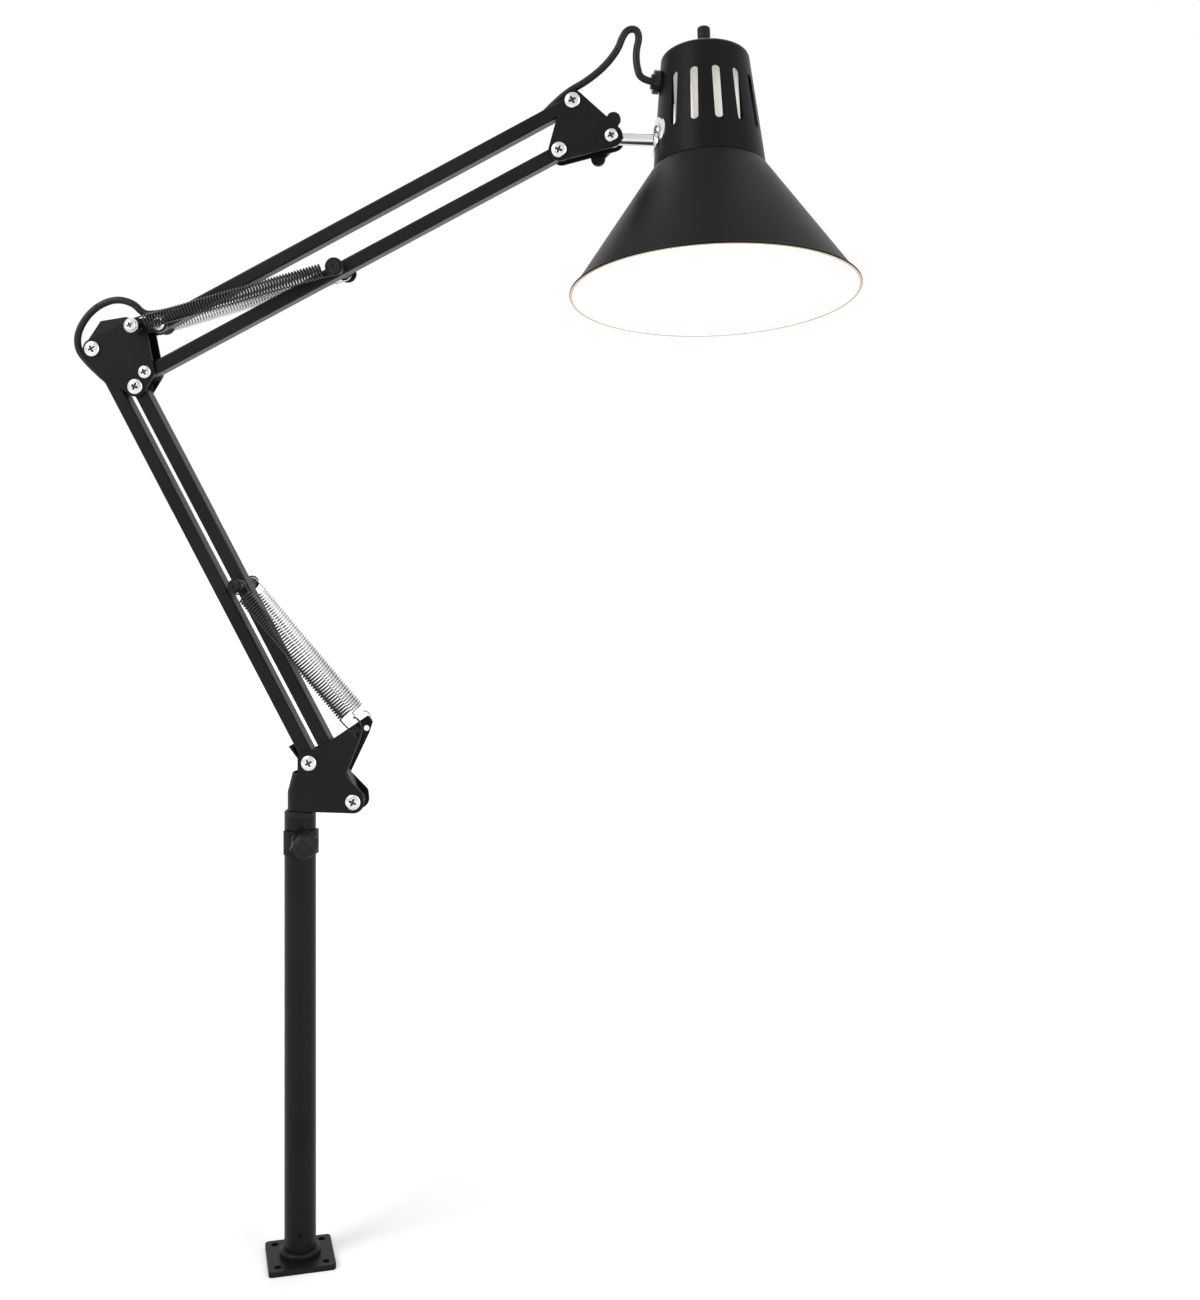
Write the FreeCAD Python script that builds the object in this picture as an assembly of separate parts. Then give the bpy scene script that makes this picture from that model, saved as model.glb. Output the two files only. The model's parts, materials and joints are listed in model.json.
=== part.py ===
import FreeCAD, Part
import math
import os

V = FreeCAD.Vector

# Pole-mounted balanced-arm lamp.  Millimetres, +Z up, arms in the XZ plane,
# origin at the centre of the base plate's underside on the pole axis.

# ---- base plate and pole ----
plate_side = 40.0
plate_thick = 3.2
plate_corner_r = 2.5
plate_yaw = 20.0
plate_hole_spacing = 28.5
plate_hole_r = 2.2
pole_r = 9.5
pole_wall = 1.5
pole_top_z = 270.0
foot_ring_width = 2.9
foot_ring_height = 4.2
vent_r = 0.8
vent_height = 15.0

# ---- swivel and its clamp ----
spigot_r = 6.2
spigot_bore_r = 4.0
spigot_depth = 42.0
spigot_rise = 11.0
bush_flange = 3.4
bush_depth = 28.0
running_fit = 0.06
seat_gap = 0.3
clamp_drop = 15.2
clamp_yaw = 25.0
clamp_screw_r = 2.5
boss_height = 14.5
boss_thick = 1.8
boss_half_angle = 72.0
knob_r = 7.6
knob_lobe_r = 2.6
knob_lobes = 6
knob_length = 8.6

# ---- bars ----
bar_width = 8.0
bar_depth = 11.7
bar_wall = 1.0
bar_corner_r = 1.3
pivot_screw_r = 2.5
lower_length = 285.0
lower_angle = 118.2
lower_span = 35.6
lower_span_angle = -40.6
lower_root_x = 7.6
lower_root_rise = 29.9
upper_length = 285.5
upper_angle = 27.35
upper_span = 30.4
upper_span_angle = 74.6
elbow_offset_x = 33.0
elbow_offset_z = -14.3

# ---- sheet metal ----
sheet = 1.2
base_gap = 12.7
elbow_gap = 14.0
head_gap = 12.7
bracket_lobe_r = 6.5
wing_flare = 13.0
hook_hole_dx = 0.4
hook_hole_drop = 4.6
hook_hole_r = 1.7
peg_head = 0.7
stop_tab_rise = 14.5
anchor_dx = 27.9
anchor_dz = 13.3
elbow_lobe_r = 6.2
anchor_lobe_r = 5.4
top_flange_bend = 32.0
low_flange_bend = 8.0
head_lobe_r = 6.5
tilt_dx = 31.3
tilt_dz = 7.9
tilt_boss_r = 8.6
tilt_boss_rise = 0.5

# ---- fasteners ----
screw_head_r = 4.7
small_head_r = 4.0
head_height = 2.5
rivet_height = 1.3
nut_across = 8.0
nut_height = 4.0
washer_r = 5.5
washer_gap = 0.05
recess_width = 0.9
recess_length = 4.4
recess_depth = 1.3

# ---- springs ----
wire_r = 0.5
coil_r = 4.15
spring_turns = 23.5
spring_offset = 15.0
hook_bend_r = 1.3
hook_gap = 0.3
pin_r = 2.0
lower_pin_along = 148.0
upper_pin_along = 134.4
lower_knob_r = 3.9
upper_knob_r = 5.0
pin_knob_height = 3.2
hook_x = 30.2
hook_z = 22.9
peg_r = 1.2
anchor_sleeve_r = 3.5

# ---- tilt stem and shade ----
stem_r = 4.0
stem_wall = 1.0
stem_length = 26.0
stem_angle = -3.2
eye_r = 5.4
shade_swivel = 11.5
wing_hub_r = 5.2
wing_hub_height = 6.0
wing_reach = 13.8
wing_tip_r = 4.3
wing_thick = 3.0
shell = 0.8
housing_taper = 5.6
housing_mid_r = 31.5
housing_below = 20.3
housing_above = 52.0
housing_edge_r = 4.0
slot_count = 11
slot_pitch = 26.2
slot_width = 4.6
slot_low = -1.5
slot_high = 33.0
rim_drop = 97.3
rim_r = 85.4
lip_r = 1.1
neck_height = 6.0
saddle_width = 37.0
saddle_height = 19.0
saddle_thick = 1.2
saddle_seat = 0.05
saddle_screw_angle = 25.0
saddle_screw_r = 1.5
saddle_hole_r = 1.8
saddle_head_r = 2.7
saddle_head_height = 1.6
grommet_height = 34.5
grommet_angle = 10.0
grommet_r = 7.2
grommet_proud = 4.0
ferrule_r = 4.4
ferrule_height = 3.2
switch_knob_r = 3.9
switch_knob_height = 15.5

# ---- socket and bulb ----
socket_r = 19.5
socket_wall = 3.0
socket_length = 46.0
socket_base = 9.0
screw_shell_r = 13.9
screw_shell_wall = 0.4
thread_r = 13.1
thread_pitch = 3.6
bulb_globe_r = 30.0
bulb_neck_r = 14.5
globe_drop = 60.0

# ---- lead ----
lead_r = 2.2
lead_slot_width = 5.2
lead_inside = 27.0


def polar(length, angle):
    """Plane vector (x, z) of a length at an angle from +X."""
    a = math.radians(angle)
    return (length * math.cos(a), length * math.sin(a))


def add(p, q):
    return (p[0] + q[0], p[1] + q[1])


def along(p, angle, distance, side=0.0):
    """Point at a distance along a direction and a side step to its left."""
    return add(add(p, polar(distance, angle)), polar(side, angle + 90.0))


def at(p, y=0.0):
    return V(p[0], y, p[1])


# ---- pivots, all worked out from the driving sizes ----
bush_top_z = pole_top_z + bush_flange
bracket_low_z = bush_top_z + seat_gap
clamp_z = pole_top_z - clamp_drop
pivot_a = (lower_root_x, bush_top_z + lower_root_rise)
pivot_b = add(pivot_a, polar(lower_span, lower_span_angle))
pivot_p1 = add(pivot_a, polar(lower_length, lower_angle))
pivot_p4 = add(pivot_b, polar(lower_length, lower_angle))
pivot_p3 = add(pivot_p1, (elbow_offset_x, elbow_offset_z))
pivot_p5 = add(pivot_p3, polar(upper_span, upper_span_angle))
pivot_q2 = add(pivot_p3, polar(upper_length, upper_angle))
pivot_q1 = add(pivot_p5, polar(upper_length, upper_angle))
pivot_q3 = add(pivot_q2, (tilt_dx, tilt_dz))
anchor = add(pivot_p1, (anchor_dx, anchor_dz))
lower_pin = along(pivot_b, lower_angle, lower_pin_along)
upper_pin = along(pivot_p3, upper_angle, upper_pin_along)
spring_hook = add(pivot_a, (hook_x, hook_z))
wall_point = along(pivot_q3, stem_angle, stem_length)

bar_face = bar_depth / 2
bore_r = pivot_screw_r + running_fit
spring_lead = 0.12
hook_plane = spring_offset + hook_bend_r * (1 - math.cos(math.pi / 2 - spring_lead))
pin_stand = hook_plane + wire_r + hook_gap
pin_groove = hook_plane - wire_r - hook_gap


# ---- shape helpers ----
def corner_arc(p, before, after, radius):
    """Start, middle and end of the fillet arc at p between two neighbours."""
    da = (before - p).normalize()
    db = (after - p).normalize()
    half = da.getAngle(db) / 2
    reach = radius / math.tan(half)
    middle = p + (da + db).normalize() * (radius / math.sin(half) - radius)
    return p + da * reach, middle, p + db * reach


def outline(points):
    """Closed XZ wire through (x, z, corner radius) points."""
    count = len(points)
    stops = []
    for i, (x, z, radius) in enumerate(points):
        p = V(x, 0, z)
        before = V(points[i - 1][0], 0, points[i - 1][1])
        after = V(points[(i + 1) % count][0], 0, points[(i + 1) % count][1])
        stops.append(corner_arc(p, before, after, radius) if radius > 0 else (p, None, p))
    edges = []
    for i, (start, middle, end) in enumerate(stops):
        if middle is not None:
            edges.append(Part.Arc(start, middle, end).toShape())
        edges.append(Part.LineSegment(end, stops[(i + 1) % count][0]).toShape())
    return Part.Wire(edges)


def slab(wire, y0, y1):
    """Solid of a closed XZ wire between two Y planes."""
    solid = Part.Face(wire).extrude(V(0, y1 - y0, 0))
    solid.translate(V(0, y0, 0))
    return solid


def hull_wire(circles):
    """Tangent outline round circles (x, z, r) listed counter-clockwise."""
    count = len(circles)
    normals = []
    for i in range(count):
        x0, z0, r0 = circles[i]
        x1, z1, r1 = circles[(i + 1) % count]
        dx, dz = x1 - x0, z1 - z0
        distance = math.hypot(dx, dz)
        ux, uz = dx / distance, dz / distance
        k = (r0 - r1) / distance
        s = math.sqrt(1 - k * k)
        normals.append(V(uz * s + ux * k, 0, -ux * s + uz * k))
    edges = []
    for i in range(count):
        x, z, r = circles[i]
        c = V(x, 0, z)
        into, out = normals[i - 1], normals[i]
        middle = into + out
        if middle.Length < 0.2:
            turn = V(-into.z, 0, into.x)
            middle = V(turn.x, 0, turn.z)
        middle.normalize()
        edges.append(Part.Arc(c + into * r, c + middle * r, c + out * r).toShape())
        nx, nz, nr = circles[(i + 1) % count]
        edges.append(Part.LineSegment(c + out * r, V(nx, 0, nz) + out * nr).toShape())
    return Part.Wire(edges)


def rod(p, radius, y0, y1):
    """Cylinder along Y at plane point p."""
    return Part.makeCylinder(radius, y1 - y0, at(p, y0), V(0, 1, 0))


def ring(p, outer, inner, y0, y1):
    return rod(p, outer, y0, y1).cut(rod(p, inner, y0 - 1, y1 + 1))


def mirror_y(shape):
    return shape.mirror(V(0, 0, 0), V(0, 1, 0))


def group(solids):
    return Part.makeCompound(solids)


def turned(profile):
    """Solid of revolution about Z of a closed (r, z) profile."""
    wire = Part.makePolygon([V(r, 0, z) for r, z in profile + [profile[0]]])
    return Part.Face(wire).revolve(V(0, 0, 0), V(0, 0, 1), 360)


def bent_tab(k1, k2, steps, bend, y_face, inward):
    """Flange beyond the crease k1-k2 of the front sheet.

    steps are (distance along the crease, distance from it) as seen square to
    the sheet; the flange turns by bend degrees, inward or outward."""
    crease = at(k2, 0) - at(k1, 0)
    crease.normalize()
    away = V(-crease.z, 0, crease.x)
    stretch = 1 / math.cos(math.radians(bend))
    base = at(k1, 0)
    corners = [base + crease * s + away * (d * stretch) for s, d in steps]
    wire = Part.makePolygon(corners + [corners[0]])
    tab = Part.Face(wire).extrude(V(0, sheet, 0))
    tab.translate(V(0, y_face, 0))
    axis_y = y_face if inward else y_face + sheet
    sign = -1 if inward else 1
    tab.rotate(at(k1, axis_y), crease, sign * bend)
    return tab


def pan_screw(p, y_seat, y_tip, head_r, shank_r):
    """Cross-recessed pan head screw along +Y, its head outside y_seat."""
    h = head_height
    solid = turned([(0, 0), (head_r, 0), (head_r, 0.45 * h), (0.86 * head_r, 0.8 * h),
                    (0.55 * head_r, h), (0, h)])
    for yaw in (45, 135):
        bar = Part.makeBox(recess_length, recess_width, recess_depth,
                           V(-recess_length / 2, -recess_width / 2, head_height - recess_depth))
        bar.rotate(V(0, 0, 0), V(0, 0, 1), yaw)
        solid = solid.cut(bar)
    solid.rotate(V(0, 0, 0), V(1, 0, 0), 90)
    solid.translate(at(p, y_seat))
    return solid.fuse(rod(p, shank_r, y_seat, y_tip)).removeSplitter()


def lock_nut(p, y_seat, shank_r):
    """Hex lock nut seated at y_seat, its domed collar outwards."""
    corner = nut_across / math.sqrt(3)
    corners = [at(along(p, 60 * i, corner), 0) for i in range(6)]
    hexagon = Part.Face(Part.makePolygon(corners + [corners[0]]))
    solid = hexagon.extrude(V(0, nut_height * 0.7, 0))
    solid.translate(V(0, y_seat, 0))
    collar = Part.makeCone(nut_across * 0.47, nut_across * 0.36, nut_height * 0.3,
                           at(p, y_seat + nut_height * 0.7), V(0, 1, 0))
    return solid.fuse(collar).cut(rod(p, shank_r + running_fit / 2, y_seat - 1, y_seat + nut_height * 2))


def pivot_set(points, gap, heads):
    """Screws, nuts and washers for pivots between two sheets gap apart."""
    face = gap / 2 + sheet
    tip = face + nut_height + 0.8
    screws = [pan_screw(p, -face, tip, r, pivot_screw_r) for p, r in zip(points, heads)]
    nuts = [lock_nut(p, face, pivot_screw_r) for p in points]
    washers = []
    for p in points:
        front = ring(p, washer_r if gap > base_gap else washer_r - 1, bore_r, -gap / 2, -bar_face - washer_gap)
        washers += [front, mirror_y(front)]
    return screws, nuts, washers


def rivet(p, face):
    """Low-headed rivet between two outer faces, each at face from the middle."""
    head = Part.makeCone(small_head_r, small_head_r * 0.7, rivet_height, at(p, face), V(0, 1, 0))
    return rod(p, pivot_screw_r, -face, face).fuse([head, mirror_y(head)]).removeSplitter()


def arm_bar(start, angle, length):
    """Rectangular tube with rounded ends centred on its two pivots."""
    half = bar_width / 2
    y = bar_depth / 2
    section = [(-half, -y), (half, -y), (half, y), (-half, y)]
    outer = outline([(u, w, bar_corner_r) for u, w in section])
    inner_r = max(bar_corner_r - bar_wall, 0.3)
    inset = [(u - math.copysign(bar_wall, u), w - math.copysign(bar_wall, w), inner_r) for u, w in section]
    run = V(0, length + bar_width, 0)
    tube = Part.Face(outer).extrude(run).cut(Part.Face(outline(inset)).extrude(run))
    # the section lies in XZ and runs along Y: lay it along +X with its width along Z
    tube.translate(V(0, -half, 0))
    tube.rotate(V(0, 0, 0), V(0, 0, 1), -90)
    tube.rotate(V(0, 0, 0), V(1, 0, 0), 90)
    plan = hull_wire([(0, 0, half), (length, 0, half)])
    tube = tube.common(slab(plan, -bar_depth, bar_depth))
    for x in (0, length):
        tube = tube.cut(rod((x, 0), bore_r, -bar_depth, bar_depth))
    tube.rotate(V(0, 0, 0), V(0, 1, 0), -angle)
    tube.translate(at(start))
    return tube


def wall_slot(start, angle, s0, s1, side):
    """Cutter for a lead slot through one narrow wall of a bar."""
    reach = bar_width
    box = Part.makeBox(s1 - s0, lead_slot_width, reach,
                       V(s0, -lead_slot_width / 2, 0 if side > 0 else -reach))
    box.rotate(V(0, 0, 0), V(0, 1, 0), -angle)
    box.translate(at(start))
    return box


# ---- base, pole and swivel ----
def base_plate():
    h = plate_side / 2
    corners = [(-h, -h), (h, -h), (h, h), (-h, h)]
    plate = slab(outline([(x, z, plate_corner_r) for x, z in corners]), 0, plate_thick)
    plate.rotate(V(0, 0, 0), V(1, 0, 0), 90)
    plate = plate.makeChamfer(0.4, [e for e in plate.Edges if abs(e.BoundBox.ZMin - plate_thick) < 1e-6
                                    and abs(e.BoundBox.ZMax - plate_thick) < 1e-6])
    d = plate_hole_spacing / 2
    for x in (-d, d):
        for y in (-d, d):
            plate = plate.cut(Part.makeCylinder(plate_hole_r, plate_thick + 2, V(x, y, -1)))
    plate.rotate(V(0, 0, 0), V(0, 0, 1), plate_yaw)
    return plate


def foot_ring():
    outer = pole_r + foot_ring_width
    z0 = plate_thick
    z1 = plate_thick + foot_ring_height
    body = Part.makeCylinder(outer, z1 - z0, V(0, 0, z0)).cut(Part.makeCylinder(pole_r + 0.02, z1, V(0, 0, 0)))
    rims = [e for e in body.Edges if abs(e.BoundBox.ZMin - z1) < 1e-6 and e.BoundBox.XLength > 2 * outer - 1]
    return body.makeFillet(foot_ring_width * 0.7, rims)


def clamp_cutter(radius, reach):
    """Cylinder along the clamp axis from the pole axis outwards."""
    a = math.radians(clamp_yaw)
    return Part.makeCylinder(radius, reach, V(0, 0, clamp_z), V(math.sin(a), -math.cos(a), 0))


def pole_tube():
    height = pole_top_z - plate_thick
    tube = Part.makeCylinder(pole_r, height, V(0, 0, plate_thick))
    tube = tube.cut(Part.makeCylinder(pole_r - pole_wall, height + 2, V(0, 0, plate_thick - 1)))
    tube = tube.cut(clamp_cutter(clamp_screw_r + running_fit, pole_r + 2))
    vent = Part.makeCylinder(vent_r, pole_r + 1, V(0, 0, plate_thick + vent_height), V(0.27, -1, 0))
    return tube.cut(vent)


def top_bush():
    inner = spigot_r + running_fit
    sleeve = pole_r - pole_wall - 0.05
    low = pole_top_z - bush_depth
    chamfer = 0.9
    profile = [(inner, low), (sleeve, low), (sleeve, pole_top_z), (pole_r, pole_top_z),
               (pole_r, bush_top_z - chamfer), (pole_r - chamfer, bush_top_z), (inner, bush_top_z)]
    return turned(profile).cut(clamp_cutter(clamp_screw_r + running_fit, pole_r + 2))


def clamp_boss():
    inner = pole_r + 0.02
    outer = pole_r + boss_thick
    low = clamp_z - boss_height / 2
    body = Part.makeCylinder(outer, boss_height, V(0, 0, low), V(0, 0, 1), 2 * boss_half_angle)
    body = body.cut(Part.makeCylinder(inner, boss_height + 2, V(0, 0, low - 1)))
    body.rotate(V(0, 0, 0), V(0, 0, 1), clamp_yaw - 90 - boss_half_angle)
    return body.cut(clamp_cutter(clamp_screw_r + running_fit, outer + 2))


def on_clamp_axis(shape):
    """Moves a shape built along +Z onto the clamp axis, z as the radius."""
    shape.rotate(V(0, 0, 0), V(1, 0, 0), 90)
    shape.rotate(V(0, 0, 0), V(0, 0, 1), clamp_yaw)
    shape.translate(V(0, 0, clamp_z))
    return shape


def clamp_knob():
    start = pole_r + boss_thick + seat_gap
    dome = 2.2
    skirt = knob_length - dome
    body = Part.makeCylinder(knob_r, skirt, V(0, 0, start))
    lobe_ring = knob_r - knob_lobe_r + 1.1
    for i in range(knob_lobes):
        a = math.radians(360.0 / knob_lobes * i + 20)
        lobe = Part.makeCylinder(knob_lobe_r, skirt - 2.4,
                                 V(lobe_ring * math.cos(a), lobe_ring * math.sin(a), start))
        body = body.fuse(lobe)
    top = start + skirt
    cap = [
        Part.LineSegment(V(0, 0, top), V(knob_r, 0, top)).toShape(),
        Part.Arc(V(knob_r, 0, top), V(knob_r * 0.78, 0, top + dome * 0.72), V(0, 0, top + dome)).toShape(),
        Part.LineSegment(V(0, 0, top + dome), V(0, 0, top)).toShape(),
    ]
    body = body.fuse(Part.Face(Part.Wire(cap)).revolve(V(0, 0, 0), V(0, 0, 1), 360)).removeSplitter()
    bore = knob_length - 3.2 + 0.1
    body = body.cut(Part.makeCylinder(clamp_screw_r + running_fit / 2, bore + 1, V(0, 0, start - 1)))
    return on_clamp_axis(body)


def clamp_screw():
    start = spigot_r + running_fit
    end = pole_r + boss_thick + seat_gap + knob_length - 3.2
    return on_clamp_axis(Part.makeCylinder(clamp_screw_r, end - start, V(0, 0, start)))


def swivel_spigot():
    low = pole_top_z - spigot_depth
    high = bracket_low_z + spigot_rise - seat_gap - 4
    body = Part.makeCylinder(spigot_r, high - low, V(0, 0, low))
    return body.cut(Part.makeCylinder(spigot_bore_r, high - low + 2, V(0, 0, low - 1)))


def half_shell(z, depth_x):
    """Closed wire of the rolled sheet round the spigot at one height."""
    y_out = base_gap / 2 + sheet
    y_in = base_gap / 2
    scale = depth_x / y_out
    def arc(radius_y):
        radius_x = radius_y * scale
        points = [V(-radius_x * math.sin(t), -radius_y * math.cos(t), z)
                  for t in [math.pi * i / 8 for i in range(9)]]
        spline = Part.BSplineCurve()
        spline.interpolate(Points=points, InitialTangent=V(-1, 0, 0), FinalTangent=V(1, 0, 0))
        return spline.toShape(), points[0], points[-1]
    outer, o0, o1 = arc(y_out)
    inner, i0, i1 = arc(y_in)
    return Part.Wire([outer, Part.LineSegment(o1, i1).toShape(), inner, Part.LineSegment(i0, o0).toShape()])


def base_bracket():
    y_face = -(base_gap / 2 + sheet)
    low = bracket_low_z
    ax, az = pivot_a
    bx, bz = pivot_b
    roll_top = az - 6.8
    crease_1 = (ax + 5.6, az + 8.8)
    crease_2 = (ax + 22.2, az - 7.5)
    cheek = outline([
        (0, low, 0), (bx + bracket_lobe_r + 0.8, low - 0.6, bracket_lobe_r),
        (bx + bracket_lobe_r - 0.6, bz + 5.0, 3.5), (crease_2[0], crease_2[1], 0),
        (crease_1[0], crease_1[1], 0), (0.4, az + 5.6, 5.0), (0.4, roll_top, 0), (0, roll_top, 0)])
    front = slab(cheek, y_face, y_face + sheet)
    span = math.dist(crease_1, crease_2)
    wing = bent_tab(crease_1, crease_2, [(0, 0), (span, 0), (14.4, 23.6), (11.2, 29.6), (8.6, 30.6), (6.2, 30.2)],
                    wing_flare, y_face, False)
    front = front.fuse(wing)
    # the opening below the hook, and the hook peg that the spring's loop sits on
    low_side = -(spring_offset + 4.2)
    slot = rod(add(spring_hook, (hook_hole_dx, -hook_hole_drop)), hook_hole_r, low_side, -base_gap / 2)
    peg = rod(spring_hook, peg_r, -(pin_stand + peg_head), -(base_gap / 2 + 5.6))
    head = rod(spring_hook, peg_r + 0.7, -(pin_stand + peg_head), -pin_stand)
    front = front.cut(slot).fuse([peg, head])
    both = front.fuse(mirror_y(front))
    # the sheet rolled round the spigot, drawn in towards its top
    roll = Part.makeLoft([half_shell(low, base_gap / 2 + sheet), half_shell(low + spigot_rise, base_gap / 2 + sheet)], True, True)
    taper = Part.makeLoft([half_shell(low + spigot_rise, base_gap / 2 + sheet), half_shell(roll_top, 4.4)], True, True)
    both = both.fuse([roll, taper])
    # back stop: an ear of the rear cheek folded across behind the left bar
    ear_low = along(pivot_a, lower_angle, -1.5, bar_width / 2 + 1.6)
    ear_high = along(pivot_a, lower_angle, stop_tab_rise, bar_width / 2 + 4.2)
    ear = outline([(ear_low[0], ear_low[1], 0), (ax, az, 0), along(ear_high, lower_angle, 0, -7) + (0,),
                   ear_high + (1.5,)])
    rear_ear = slab(ear, base_gap / 2, base_gap / 2 + sheet)
    fold = slab(outline([ear_low + (0,), along(ear_low, lower_angle, 0, -sheet) + (0,),
                         along(ear_high, lower_angle, 0, -sheet) + (0,), ear_high + (0,)]),
                -base_gap / 2 + 3.5, base_gap / 2 + sheet)
    both = both.fuse([rear_ear, fold])
    for p in (pivot_a, pivot_b):
        both = both.cut(rod(p, bore_r, -base_gap, base_gap))
    return both.removeSplitter()


# ---- elbow ----
def elbow_plate():
    y_face = -(elbow_gap / 2 + sheet)
    main = slab(hull_wire([pivot_p1 + (elbow_lobe_r,), pivot_p4 + (elbow_lobe_r,),
                           pivot_p3 + (elbow_lobe_r - 0.4,), anchor + (anchor_lobe_r,)]),
                y_face, y_face + sheet)
    neck = slab(hull_wire([anchor + (4.8,), pivot_p5 + (4.8,)]), y_face, y_face + sheet)
    top_angle = math.degrees(math.atan2(anchor_dz, anchor_dx))
    k2 = along(pivot_p1, top_angle, 0, elbow_lobe_r)
    k1 = along(anchor, top_angle, 0, anchor_lobe_r)
    reach = math.dist(k1, k2)
    top_flange = bent_tab(k2, k1, [(0, 0), (reach, 0), (reach * 0.85, 3.6), (reach * 0.32, 8.6)],
                          top_flange_bend, y_face, True)
    down_angle = lower_span_angle
    k3 = along(pivot_p4, down_angle, 0, -elbow_lobe_r)
    k4 = along(pivot_p1, down_angle, 0, -elbow_lobe_r)
    reach = math.dist(k3, k4)
    low_flange = bent_tab(k3, k4, [(reach * 0.05, 0), (reach, 0), (reach * 0.9, 1.2), (reach * 0.57, 4.0)],
                          low_flange_bend, y_face, True)
    plate = main.fuse([neck, top_flange, low_flange])
    for p in (pivot_p1, pivot_p3, pivot_p4, pivot_p5):
        plate = plate.cut(rod(p, bore_r, -elbow_gap, elbow_gap))
    return plate.cut(rod(anchor, pin_r + running_fit, -elbow_gap, elbow_gap)).removeSplitter()


# ---- head bracket ----
def head_plate():
    y_face = -(head_gap / 2 + sheet)
    tilt_r = head_lobe_r + 0.2
    wire = hull_wire([pivot_q2 + (head_lobe_r,), pivot_q3 + (tilt_r,), pivot_q1 + (head_lobe_r,)])
    plate = slab(wire, y_face, y_face + sheet)
    boss = rod(pivot_q3, tilt_boss_r, y_face - tilt_boss_rise, y_face)
    inset = hull_wire([pivot_q2 + (head_lobe_r - 1.0,), pivot_q3 + (tilt_r - 0.8,), pivot_q1 + (head_lobe_r - 1.0,)])
    plate = plate.fuse(boss.common(slab(inset, y_face - 2, y_face + sheet)))
    for p in (pivot_q1, pivot_q2, pivot_q3):
        plate = plate.cut(rod(p, bore_r, -head_gap, head_gap))
    return plate.removeSplitter()


def head_stem():
    reach = stem_length - saddle_thick - 2 * saddle_seat
    tube = Part.makeCylinder(stem_r, reach, V(0, 0, 0), V(1, 0, 0))
    tube = tube.cut(Part.makeCylinder(stem_r - stem_wall, stem_length, V(eye_r + 2, 0, 0), V(1, 0, 0)))
    half = head_gap / 2 - 0.6
    eye = Part.makeCylinder(eye_r, 2 * half, V(0, -half, 0), V(0, 1, 0))
    body = tube.fuse(eye)
    body = body.cut(Part.makeCylinder(bore_r, head_gap * 2, V(0, -head_gap, 0), V(0, 1, 0)))
    body.rotate(V(0, 0, 0), V(0, 1, 0), -stem_angle)
    body.translate(at(pivot_q3))
    return body.removeSplitter()


def wing_nut():
    seat = head_gap / 2 + sheet + tilt_boss_rise + 0.15
    hub = Part.makeCone(wing_hub_r, wing_hub_r * 0.8, wing_hub_height, at(pivot_q3, seat), V(0, 1, 0))
    body = hub
    for angle in (90.0, 227.0):
        tip = along(pivot_q3, angle, wing_reach)
        y0 = seat + 1.0
        blade = slab(hull_wire([pivot_q3 + (wing_hub_r * 0.62,), tip + (wing_tip_r * 0.62,)]), y0, y0 + wing_thick)
        pad = rod(tip, wing_tip_r, y0 - 0.3, y0 + wing_thick + 0.3)
        body = body.fuse([blade, pad])
    return body.cut(rod(pivot_q3, bore_r, 0, seat + wing_hub_height + 2)).removeSplitter()


# ---- shade, in its own frame: axis Z, z = 0 level with the stem ----
def housing_r(z):
    return housing_mid_r - z * math.tan(math.radians(housing_taper))


def place_shade(shape):
    """Moves a shape from the shade's frame onto the end of the stem."""
    lean = stem_angle + housing_taper
    shape.translate(V(housing_mid_r, 0, 0))
    shape.rotate(V(0, 0, 0), V(0, 1, 0), -lean)
    direction = at(polar(1, stem_angle))
    shape.rotate(V(0, 0, 0), direction, -shade_swivel)
    shape.translate(at(wall_point))
    return shape


def place_point(x, y, z):
    vertex = place_shade(Part.Vertex(x, y, z))
    return vertex.Point


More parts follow.
